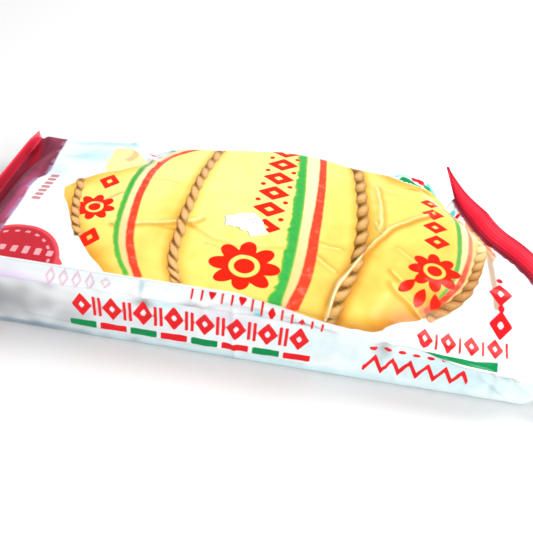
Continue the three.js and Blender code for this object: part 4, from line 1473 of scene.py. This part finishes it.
def make_film_material(wrinkles):
    """Glossy printed film, dull maroon at the left end, and the ribbed red fins of the seals."""
    material, w, shader = new_material("printed_film")
    place = w.place()
    x, _, _ = w.parts("print_map")
    seal = w.parts("print_ends")[0]
    end = w.node("Attribute", attribute_name="seal_reach").outputs["Fac"]
    colour = lay_picture(w, place, white_film_colour(w, place))
    colour = lay_badge(w, place, colour)
    by_fin = w.fade(end, FIN_RED_REACH + 0.4, FIN_RED_REACH - 0.4)
    zone = w.math("MAXIMUM", w.inside(seal, 0.5), by_fin)
    on_fin = w.fade(end, 1.2, -0.6)
    right_red_and_shade = w.ramp(w.fade(end, -8.6, 0.4), RIGHT_FIN_RED_AND_SHADE)
    # The fins' red, with the painted light of the left fin and the painted shade of the right fin.
    fin_red_lit_and_shaded = w.lay(right_red_and_shade, LEFT_FIN_LIT_RED, w.fade(x, 1.0, -1.0))
    colour = w.lay(colour, w.lay(maroon_colour(w, place), fin_red_lit_and_shaded, on_fin), zone)
    w.feed(shader.inputs["Base Color"], colour)
    end_rough = w.fade(on_fin, 0.0, 1.0, MAROON_ROUGH, FIN_ROUGH)
    creased = w.times(w.parts("painted_fold_light_and_rim")[1], CREASE_ROUGH)
    rough = w.plus(w.fade(zone, 0.0, 1.0, FILM_ROUGH, end_rough), creased)
    w.feed(shader.inputs["Roughness"], rough)
    shader.inputs["Specular IOR Level"].default_value = FILM_SHINE
    ribs = w.math("SINE", w.times(end, 2 * math.pi / RIB_PITCH))
    raised = w.times(ribs, on_fin, RIB_HEIGHT)
    height = w.plus(wrinkle_height(w, wrinkles, place, 1.0), raised)
    add_bump(w, shader, height, *FILM_BUMP)
    return material


def make_paper_material(wrinkles):
    """Torn white paper with the faint marks of worn-off print on its right half."""
    material, w, shader = new_material("label_paper")
    place = w.place()
    x, y, rim = w.parts("print_map")
    middle = w.times(w.fade(x, -6.2, -5.0), w.fade(x, -1.4, -2.6))
    worn = w.times(w.fade(w.noise(place, 0.9, 4.0, 0.7), 0.48, 0.6), middle)
    worn = w.times(worn, w.fade(y, -11.8, -10.6), w.fade(rim, 0.95, 0.75))
    w.feed(shader.inputs["Base Color"], w.lay(PAPER_WHITE, PAPER_PRINT, worn, 0.6))
    shader.inputs["Roughness"].default_value = PAPER_ROUGH
    shader.inputs["Specular IOR Level"].default_value = PAPER_SHINE
    add_bump(w, shader, wrinkle_height(w, wrinkles, place, 4.0), *PAPER_BUMP)
    return material


wrinkles = make_wrinkle_group()
film.data.materials.append(make_film_material(wrinkles))
scrap.data.materials.append(make_paper_material(wrinkles))

# ---- camera, floor and light -------------------------------------------------------------------
CAMERA_PLACE = (13.98, -177.08, 155.64)
# Degrees that the camera looks down, is turned and is rolled by.
CAMERA_DOWN = 40.5
CAMERA_TURN = -4.2
CAMERA_ROLL = 6.1
LENS = 45.12
SENSOR = 36
FLOOR_HALF = 1200.0
FLOOR_GAP = 0.1
WORLD_STRENGTH = 0.61
# Lamps: name, place and size in metres, power in watts.
LAMPS = [("key", (0.44, 0.22, 0.54), 0.4, 4.2), ("front", (0.6, -0.52, 0.4), 0.6, 3.7)]


def make_camera():
    """The camera looks down at the front from a little right of the middle."""
    down, turn, roll = (math.radians(angle) for angle in (CAMERA_DOWN, CAMERA_TURN, CAMERA_ROLL))
    ahead = Vector((math.sin(turn) * math.cos(down), math.cos(turn) * math.cos(down),
                    -math.sin(down)))
    right = Vector((math.cos(turn), -math.sin(turn), 0))
    up = right.cross(ahead)
    right, up = (right * math.cos(roll) + up * math.sin(roll),
                 up * math.cos(roll) - right * math.sin(roll))
    data = bpy.data.cameras.new("camera")
    data.sensor_width = SENSOR
    data.lens = LENS
    data.clip_start = 0.01
    camera = bpy.data.objects.new("camera", data)
    axes = Matrix((right, up, -ahead)).transposed().to_4x4()
    camera.matrix_world = Matrix.Translation(Vector(CAMERA_PLACE) * MM) @ axes
    bpy.context.collection.objects.link(camera)
    bpy.context.scene.camera = camera


def make_floor():
    corners = [(-1, -1, 0), (1, -1, 0), (1, 1, 0), (-1, 1, 0)]
    floor = make_piece("floor", np.array(corners) * FLOOR_HALF, [(0, 1, 2, 3)])
    floor.location.z = -FLOOR_GAP * MM
    material, _, shader = new_material("pale_floor")
    shader.inputs["Base Color"].default_value = (0.9, 0.9, 0.9, 1)
    shader.inputs["Roughness"].default_value = 0.9
    floor.data.materials.append(material)


def make_lights():
    world = bpy.data.worlds.new("studio")
    bpy.context.scene.world = world
    world.use_nodes = True
    background = world.node_tree.nodes["Background"].inputs
    background["Color"].default_value = (1, 1, 1, 1)
    background["Strength"].default_value = WORLD_STRENGTH
    for name, place, size, power in LAMPS:
        data = bpy.data.lights.new(name, "AREA")
        data.size = size
        data.energy = power
        lamp = bpy.data.objects.new(name, data)
        lamp.location = place
        lamp.rotation_euler = (-Vector(place)).to_track_quat("-Z", "Y").to_euler()
        bpy.context.collection.objects.link(lamp)
    bpy.context.scene.view_settings.view_transform = "Standard"


make_camera()
make_floor()
make_lights()
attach(film, "root")
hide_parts("film_pack")
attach(scrap, "root")
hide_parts("label_scrap")
